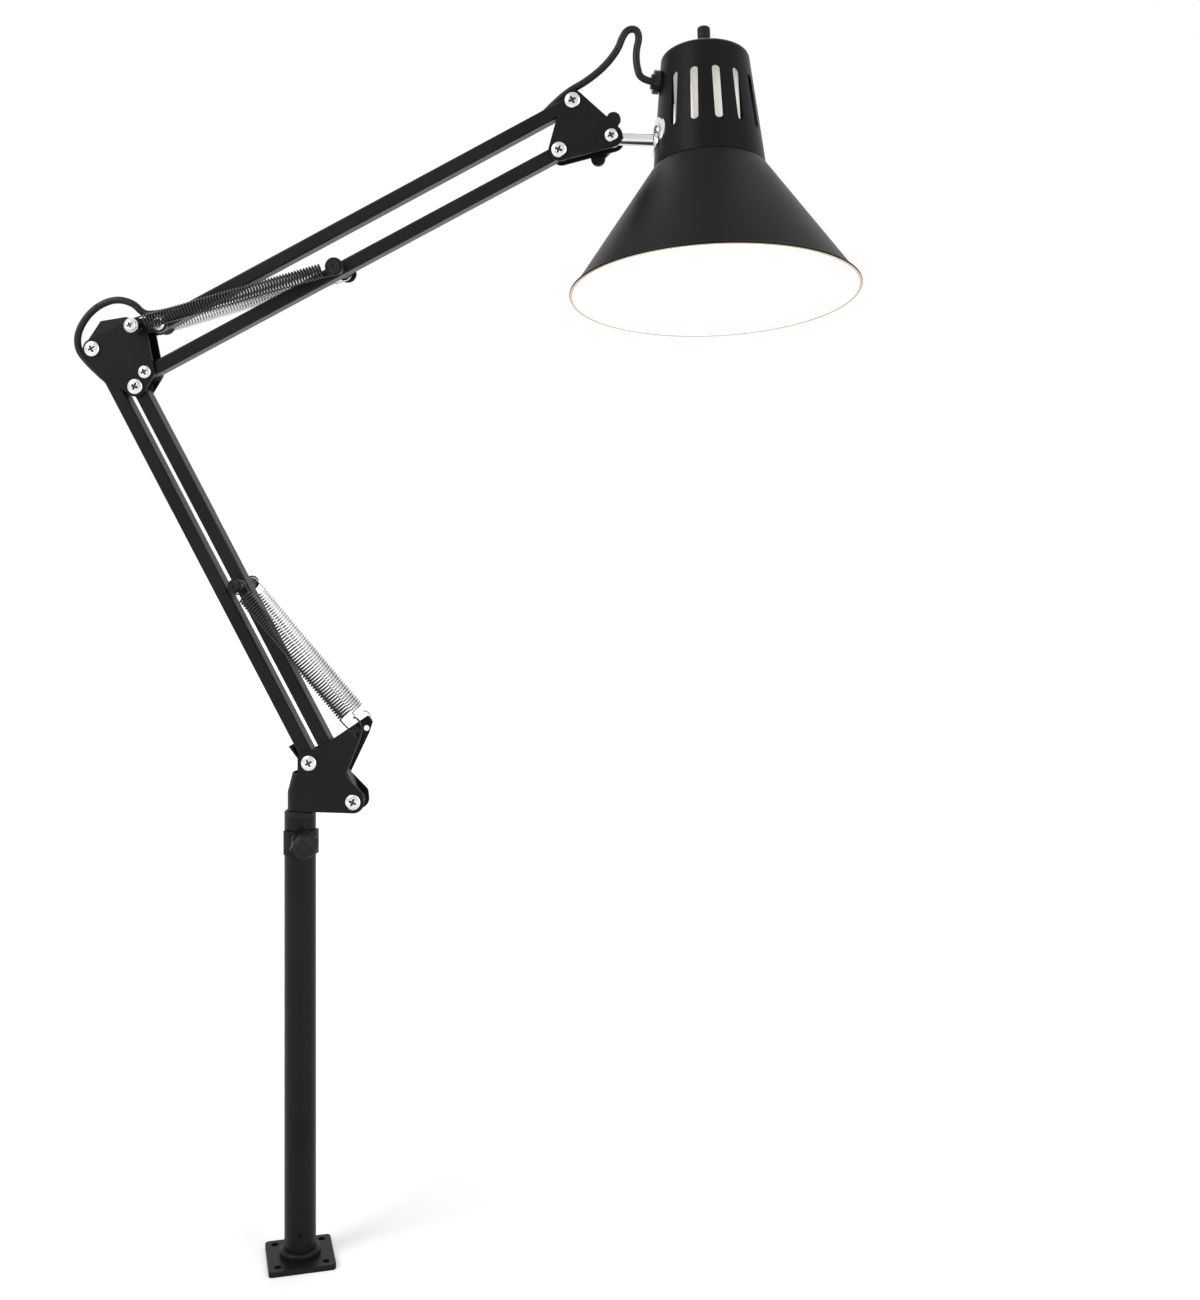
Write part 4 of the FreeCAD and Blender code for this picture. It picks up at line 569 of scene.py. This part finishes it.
# ---------------------------------------------------------------- floor, light and camera
FLOOR_HALF = 20.0
corners = np.array([(-1, -1, 0), (1, -1, 0), (1, 1, 0), (-1, 1, 0)]) * FLOOR_HALF
pale = bpy.data.materials.new("pale floor")
pale.use_nodes = True
nodes, links = pale.node_tree.nodes, pale.node_tree.links
paint = nodes["Principled BSDF"]
paint.inputs["Base Color"].default_value = (0.86, 0.86, 0.86, 1)
paint.inputs["Roughness"].default_value = 0.8
paint.inputs["Emission Color"].default_value = (1, 1, 1, 1)
away = nodes.new("ShaderNodeVectorMath")
away.operation = "LENGTH"
links.new(nodes.new("ShaderNodeTexCoord").outputs["Object"], away.inputs[0])
glow = nodes.new("ShaderNodeMapRange")
glow.inputs["From Min"].default_value, glow.inputs["From Max"].default_value = 0.1, 2.5
glow.inputs["To Min"].default_value, glow.inputs["To Max"].default_value = 0.26, 0.8
links.new(away.outputs["Value"], glow.inputs["Value"])
links.new(glow.outputs["Result"], paint.inputs["Emission Strength"])
piece("floor", corners, [np.arange(4)[None]], [pale], smooth=False)

world = bpy.data.worlds.new("studio")
bpy.context.scene.world = world
world.use_nodes = True
nodes, links = world.node_tree.nodes, world.node_tree.links
ray = nodes.new("ShaderNodeLightPath")
seen = ray.outputs["Is Camera Ray"]
for kind in ("Is Glossy Ray", "Is Transmission Ray"):
    either = nodes.new("ShaderNodeMath")
    either.operation = "MAXIMUM"
    links.new(seen, either.inputs[0])
    links.new(ray.outputs[kind], either.inputs[1])
    seen = either.outputs[0]
level = nodes.new("ShaderNodeMapRange")
level.inputs["To Min"].default_value, level.inputs["To Max"].default_value = 0.42, 1.0
links.new(seen, level.inputs["Value"])
nodes["Background"].inputs["Color"].default_value = (1, 1, 1, 1)
links.new(level.outputs["Result"], nodes["Background"].inputs["Strength"])


def softbox(name, where, target, size, power):
    """Rectangular studio lamp aimed at a point."""
    light = bpy.data.lights.new(name, "AREA")
    light.shape = "RECTANGLE"
    light.size, light.size_y = size
    light.energy = power
    obj = bpy.data.objects.new(name, light)
    bpy.context.scene.collection.objects.link(obj)
    obj.location = where
    obj.rotation_mode = "QUATERNION"
    obj.rotation_quaternion = (Vector(target) - Vector(where)).to_track_quat("-Z", "Y")


softbox("key", (-1.1, -1.2, 1.5), (0, 0, 0.45), (0.9, 1.2), 22)
softbox("fill", (1.4, -0.9, 0.8), (0, 0, 0.4), (0.8, 1.4), 9)
softbox("top", (0.1, 1.1, 1.9), (0, 0, 0.4), (1.2, 0.8), 6)

PICTURE_HEIGHT, LENS_SHIFT = 1300, -172
lens = bpy.data.cameras.new("camera")
lens.lens, lens.sensor_width, lens.shift_y = 42.92, 36, LENS_SHIFT / PICTURE_HEIGHT
lens.clip_start, lens.clip_end = 0.05, 100
camera = bpy.data.objects.new("camera", lens)
bpy.context.scene.collection.objects.link(camera)
camera.location = (0.257985, -0.927317, 0.475548)
camera.rotation_mode = "QUATERNION"
camera.rotation_quaternion = Vector((-0.0802, 0.9968, 0)).to_track_quat("-Z", "Y")
bpy.context.scene.camera = camera
bpy.context.scene.view_settings.view_transform = "Standard"
